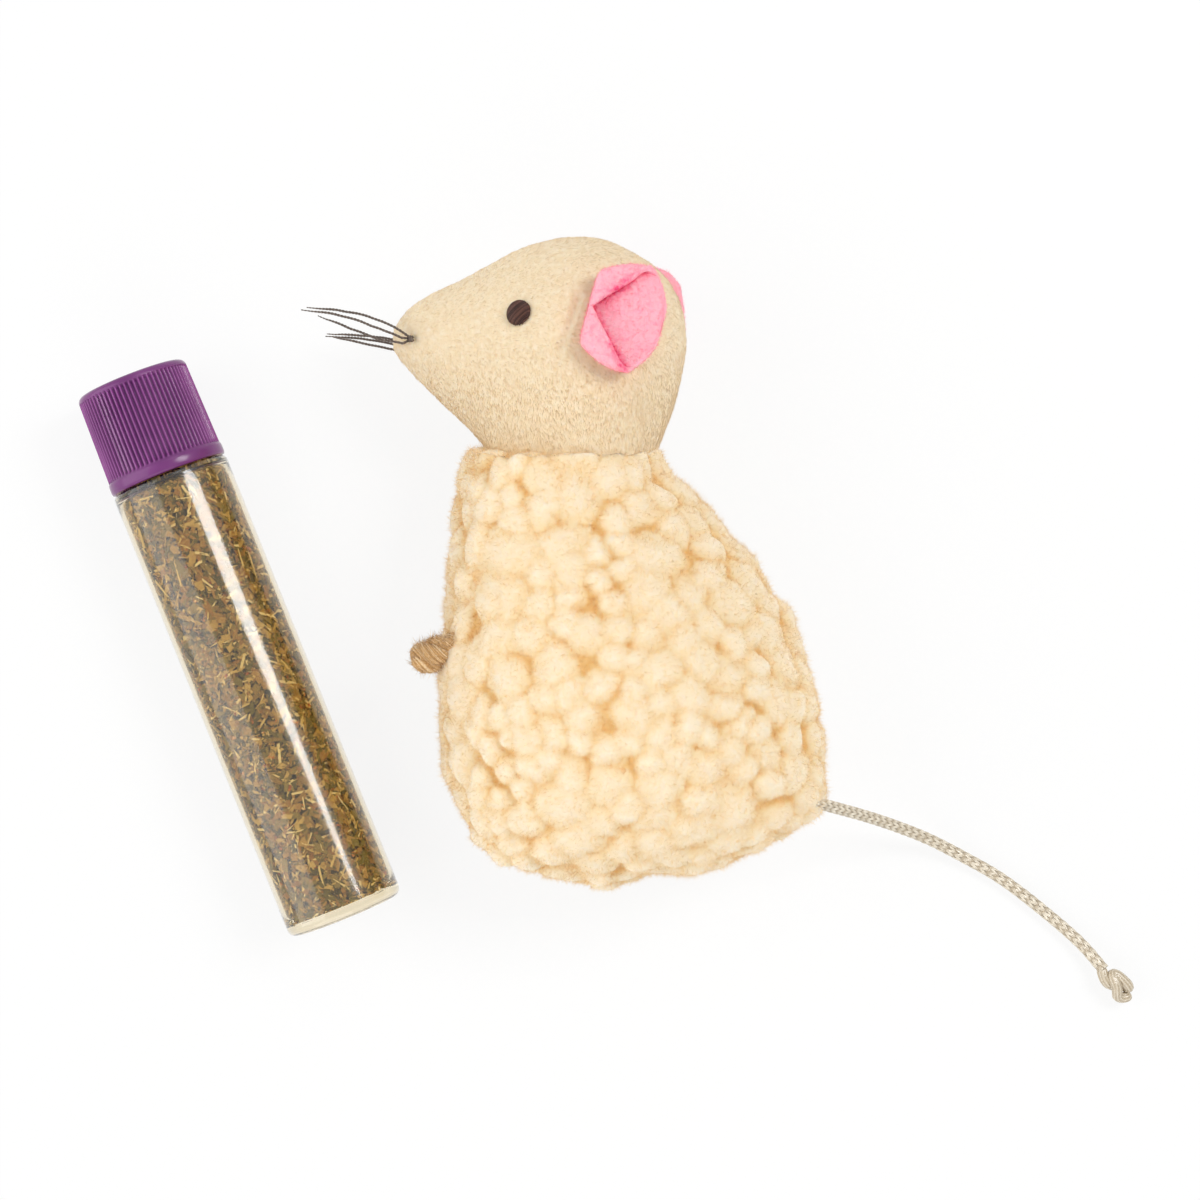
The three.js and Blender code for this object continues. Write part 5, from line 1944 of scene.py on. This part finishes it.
        # Painted shade: the core's dark tone shows in the gaps between the scraps.
        core.values["tone"] = np.clip(self.core_shade_tone + layered(core.points, self.core_shade_tones), 0, 1)
        parts = [core]
        box = np.array(list(product((-1, 1), repeat=3)), dtype=float)
        sides = np.array([(0, 1, 3, 2), (4, 6, 7, 5), (0, 4, 5, 1), (2, 3, 7, 6), (0, 2, 6, 4), (1, 5, 7, 3)])
        for kind, number in self.scraps:
            long, wide, thick, tones = (rng.uniform(*limits, number) for limits in kind.value)
            turn = rng.uniform(0, math.tau, number)
            depth = rng.power(self.fill_crowding, number)
            radius = self.fill_radius - 1.0 + self.fill_depth * depth
            height = rng.uniform(self.fill_from + 0.3, self.fill_to, number)
            radial = np.stack([np.cos(turn), np.sin(turn), np.zeros(number)], axis=1)
            at_base = rng.random(number) < self.base_share
            radius = np.where(at_base, self.fill_radius * np.sqrt(rng.random(number)), radius)
            height = np.where(at_base, self.fill_from + 0.6 * (1 - depth), height)
            middle = radial * radius[:, None] + UP * height[:, None]
            outward = np.where(at_base[:, None], -UP, radial)
            up = unit(outward + rng.normal(0, self.scrap_tilt, (number, 3)))
            first = unit(np.cross(up, unit(rng.normal(size=(number, 3)))))
            second = np.cross(up, first)
            sizes = np.stack([long, wide, thick], axis=1)[:, None]
            bent = rng.normal(0, self.scrap_bend, (number, 8, 3)) * sizes
            taper = rng.uniform(*self.scrap_taper, (number, 8, 1))
            local = box[None] * (sizes / 2) * taper + bent * self.scrap_bend_share
            local[:, :, 2] += (local[:, :, 0] ** 2) * rng.normal(0, self.scrap_curl, (number, 1))
            points = middle[:, None] + local[:, :, :1] * first[:, None] + local[:, :, 1:2] * second[:, None]
            points = (points + local[:, :, 2:] * up[:, None]).reshape(-1, 3)
            faces = (np.arange(number)[:, None, None] * 8 + sides[None]).reshape(-1, 4)
            parts.append(Skin(points, faces, {"tone": np.repeat(tones, 8)}))
        heap = joined(parts)
        away = norm(heap.points[:, :2])
        below = self.length - heap.points[:, 2]
        room = np.interp(below, (0.95, 1.1, 1.5, 2.3),
                         (self.neck - self.neck_wall - 0.15, self.fill_radius - 1.0,
                          self.fill_radius - 0.35, self.fill_radius + 0.08))
        heap.points[:, :2] *= np.minimum(1, room / np.maximum(away, 1e-6))[:, None]
        heap.points[:, 2] = np.clip(heap.points[:, 2], self.fill_from, self.fill_to + 0.3)
        return self.placed(heap)

    def rib_wave(self, radius: Array, height: Array, turn: Array) -> Array:
        """The fine grip ribs between the cap's foot band and its rounded top edge."""
        wave = np.abs(np.cos(turn * self.ribs / 2)) ** self.rib_sharp
        return np.where(radius > self.cap_bore + 0.5, -self.rib_depth * self.rib_zone(height) * wave, 0.0)

    def rib_zone(self, height: Array) -> Array:
        """Where the ribs run, from 0 to 1."""
        start = self.cap_foot + self.cap_band
        low, high = self.rib_end
        ended = ease(self.cap_top - low, self.cap_top - high, height)
        return ease(start, start + self.rib_start, height) * (1 - ended)

    def cap(self) -> Skin:
        """The screw cap: band, ribs, rounded top and threaded bore in one closed form."""
        foot, top = self.cap_foot, self.cap_top
        band = foot + self.cap_band
        slope = (self.cap_radius - self.cap_top_radius) / (top - foot)
        side = [(self.cap_radius - inset, height) for inset, height in (
            (0.5, foot), (0.12, foot + 0.12), (0.0, foot + 0.5), (0.0, band - 0.5), (0.06, band - 0.12),
            (0.18, band))]
        for h in np.linspace(band + 0.1, top - self.cap_round - 0.05, 40):
            side.append((self.cap_radius - 0.14 - slope * (h - foot) * 0.7, h))
        edge = self.corner(side[-1][0], top, self.cap_round, True, 10)
        face = [(r, top - self.dish_depth * ease(0, self.dish_slope, np.array(self.dish_radius - r)))
                for r in np.linspace(7.6, 1.0, 12)]
        face += [(0.9, top - 0.05), (0.6, top), (self.axis_ring, top)]
        inside = [(self.axis_ring, self.cap_ceiling), (self.cap_bore - 0.5, self.cap_ceiling)]
        inside += [(self.cap_bore, h) for h in np.linspace(self.cap_ceiling - 0.5, foot + 0.4, 60)]
        inside += [(self.cap_bore + 0.3, foot)]
        skin = revolved(inside + side + edge + face, self.ribs * self.steps_per_rib, self.rib_wave)
        x, y, height = skin.points.T
        away = norm(skin.points[:, :2])
        groove = self.rib_wave(away + self.rib_depth, height, np.arctan2(y, x))
        # Painted light and shade: ribs lighter than the band on their ridges and darkest in their grooves.
        skin.values["tone"] = (self.band_tone + self.rib_painted_light * self.rib_zone(height)
                               + self.groove_painted_shade * groove / self.rib_depth)
        return self.placed(skin)

    def build(self) -> list[Object]:
        """Make the tube, its filling and its cap."""
        rng = np.random.default_rng(self.seed)
        tube = self.glass().build("clear_tube", ClearStyrene().build())
        heap = self.flakes(rng).build("dried_catnip", DriedLeaf().build(), smooth=False)
        cap = self.cap().build("ribbed_screw_cap", MouldedPlastic().build())
        settle(tube, Body.TUBE, "clear_plastic", "tube")
        settle(heap, Body.TUBE, "dried_leaf", "catnip")
        settle(cap, Body.CAP, "cap_plastic", "screw_cap")
        dress("cap_liner", self.liner_finish.build())
        return [tube, heap, cap]


@dataclass(frozen=True)
class StudioFloor(Finish):
    """Seamless paper sweep: even white, with the object's soft shadow left in it."""

    name: str = "white_paper_sweep"
    low: str = "#F6F6F5"
    high: str = "#FAFAF9"
    white: float = 0.86
    clear_from: float = 0.16
    clear_to: float = 0.5
    grain_mm: float = 0.8
    spread: float = 0.5

    def build(self) -> Material:
        """Paper that the camera sees as white, apart from part of the shadow."""
        material, tree, shader = self.start(Roughness=0.95, Specular_IOR_Level=0.0)
        self.toned(tree, shader, [(0.0, self.low), (0.5, self.high)])
        place = add_node(tree, "TexCoord")
        away = add_node(tree, "VectorMath", {"operation": "LENGTH"}, {0: place.outputs["Object"]})
        white = add_node(tree, "MapRange", {1: self.clear_from, 2: self.clear_to, 3: self.white, 4: 1.0},
                         {0: away.outputs["Value"]})
        share = add_node(tree, "Math", {"operation": "MULTIPLY"}, {0: seen_rays(tree), 1: white.outputs[0]})
        glow = add_node(tree, "Emission", {"Strength": 1.0})
        links = {0: share.outputs[0], 1: shader.outputs[0], 2: glow.outputs[0]}
        self.shown(tree, add_node(tree, "MixShader", links=links))
        return material


@dataclass(frozen=True)
class SoftBox:
    """One lamp: its middle, what it points at, width and length, watts, and the way its length runs."""

    name: str
    place: Triple
    aim: Triple
    size: Pair
    power: float
    along: Triple

    def hang(self) -> None:
        """Put the lamp into the scene."""
        lamp = bpy.data.lights.new(self.name, "AREA")
        lamp.shape = "RECTANGLE"
        lamp.size, lamp.size_y = self.size
        lamp.energy = self.power
        holder = bpy.data.objects.new(self.name, lamp)
        back = (Vector(self.place) - Vector(self.aim)).normalized()
        long = (Vector(self.along) - back * Vector(self.along).dot(back)).normalized()
        wide = long.cross(back)
        turn = holder.matrix_world.to_3x3()
        for k, way in enumerate((wide, long, back)):
            for i in range(3):
                turn[i][k] = way[i]
        holder.matrix_world = turn.to_4x4()
        holder.location = self.place
        bpy.context.scene.collection.objects.link(holder)


@dataclass
class Studio:
    """The camera straight above, a paper floor and soft boxes on all sides."""

    camera_at: Triple = (-0.005, 0.015, 0.600)
    lens_mm: float = 106.2
    sensor_mm: float = 36.0
    clip_start: float = 0.01
    floor_half: float = 1.5
    floor_height: float = -0.0002
    world_light: float = 0.355
    boxes: tuple[SoftBox, ...] = (
        SoftBox("right_soft_box", (0.45, 0.29, 0.68), (-0.06, 0.0, 0.01), (0.34, 0.28), 3.4,
                (0.3, 0.95, 0.0)),
        SoftBox("left_soft_box", (-0.75, -0.05, 0.42), (0.0, 0.0, 0.02), (1.0, 1.0), 4.9, (0, 1, 0)),
        SoftBox("front_soft_box", (0.0, -0.80, 0.42), (0.0, 0.0, 0.02), (1.0, 1.0), 3.2, (1, 0, 0)),
        SoftBox("top_soft_box", (0.10, 0.75, 0.75), (0.0, 0.0, 0.01), (0.6, 0.4), 0.9, (1, 0, 0)))

    def view(self) -> None:
        """Set up the camera."""
        camera = bpy.data.cameras.new("camera")
        camera.lens = self.lens_mm
        camera.sensor_width = self.sensor_mm
        camera.clip_start = self.clip_start
        holder = bpy.data.objects.new("camera", camera)
        holder.location = self.camera_at
        bpy.context.scene.collection.objects.link(holder)
        bpy.context.scene.camera = holder

    def build(self) -> None:
        """Make the floor, the lamps and the world."""
        half = self.floor_half
        corners = [(x * half, y * half, self.floor_height) for x, y in ((-1, -1), (1, -1), (1, 1), (-1, 1))]
        floor = Skin(np.array(corners), np.array([[0, 1, 2, 3]]))
        floor.build("studio_floor", StudioFloor().build())
        for box in self.boxes:
            box.hang()
        world = bpy.data.worlds.new("studio_air")
        bpy.context.scene.world = world
        world.use_nodes = True
        tree = world.node_tree
        level = add_node(tree, "MapRange", {3: self.world_light, 4: 1.0}, {0: seen_rays(tree)})
        tree.links.new(level.outputs[0], tree.nodes["Background"].inputs["Strength"])
        tree.nodes["Background"].inputs["Color"].default_value = (1, 1, 1, 1)
        bpy.context.scene.view_settings.view_transform = "Standard"


def main() -> None:
    """Build every sub-assembly in order and report each piece."""
    logging.basicConfig(level=logging.INFO, format="%(message)s")
    studio = Studio()
    studio.view()
    assemblies = [Tail(), FleeceBody(), PlushHead()]
    for side in Side:
        assemblies += [FeltEar(side), StitchedEye(side), Whiskers(side), JutePaw(side)]
    assemblies += [CatnipPouch(), RefillTube()]
    for assembly in assemblies:
        pieces = assembly.build()
        log.info("%s: %s", type(assembly).__name__, ", ".join(piece.name for piece in pieces))
    studio.build()


if __name__ == "__main__":
    main()
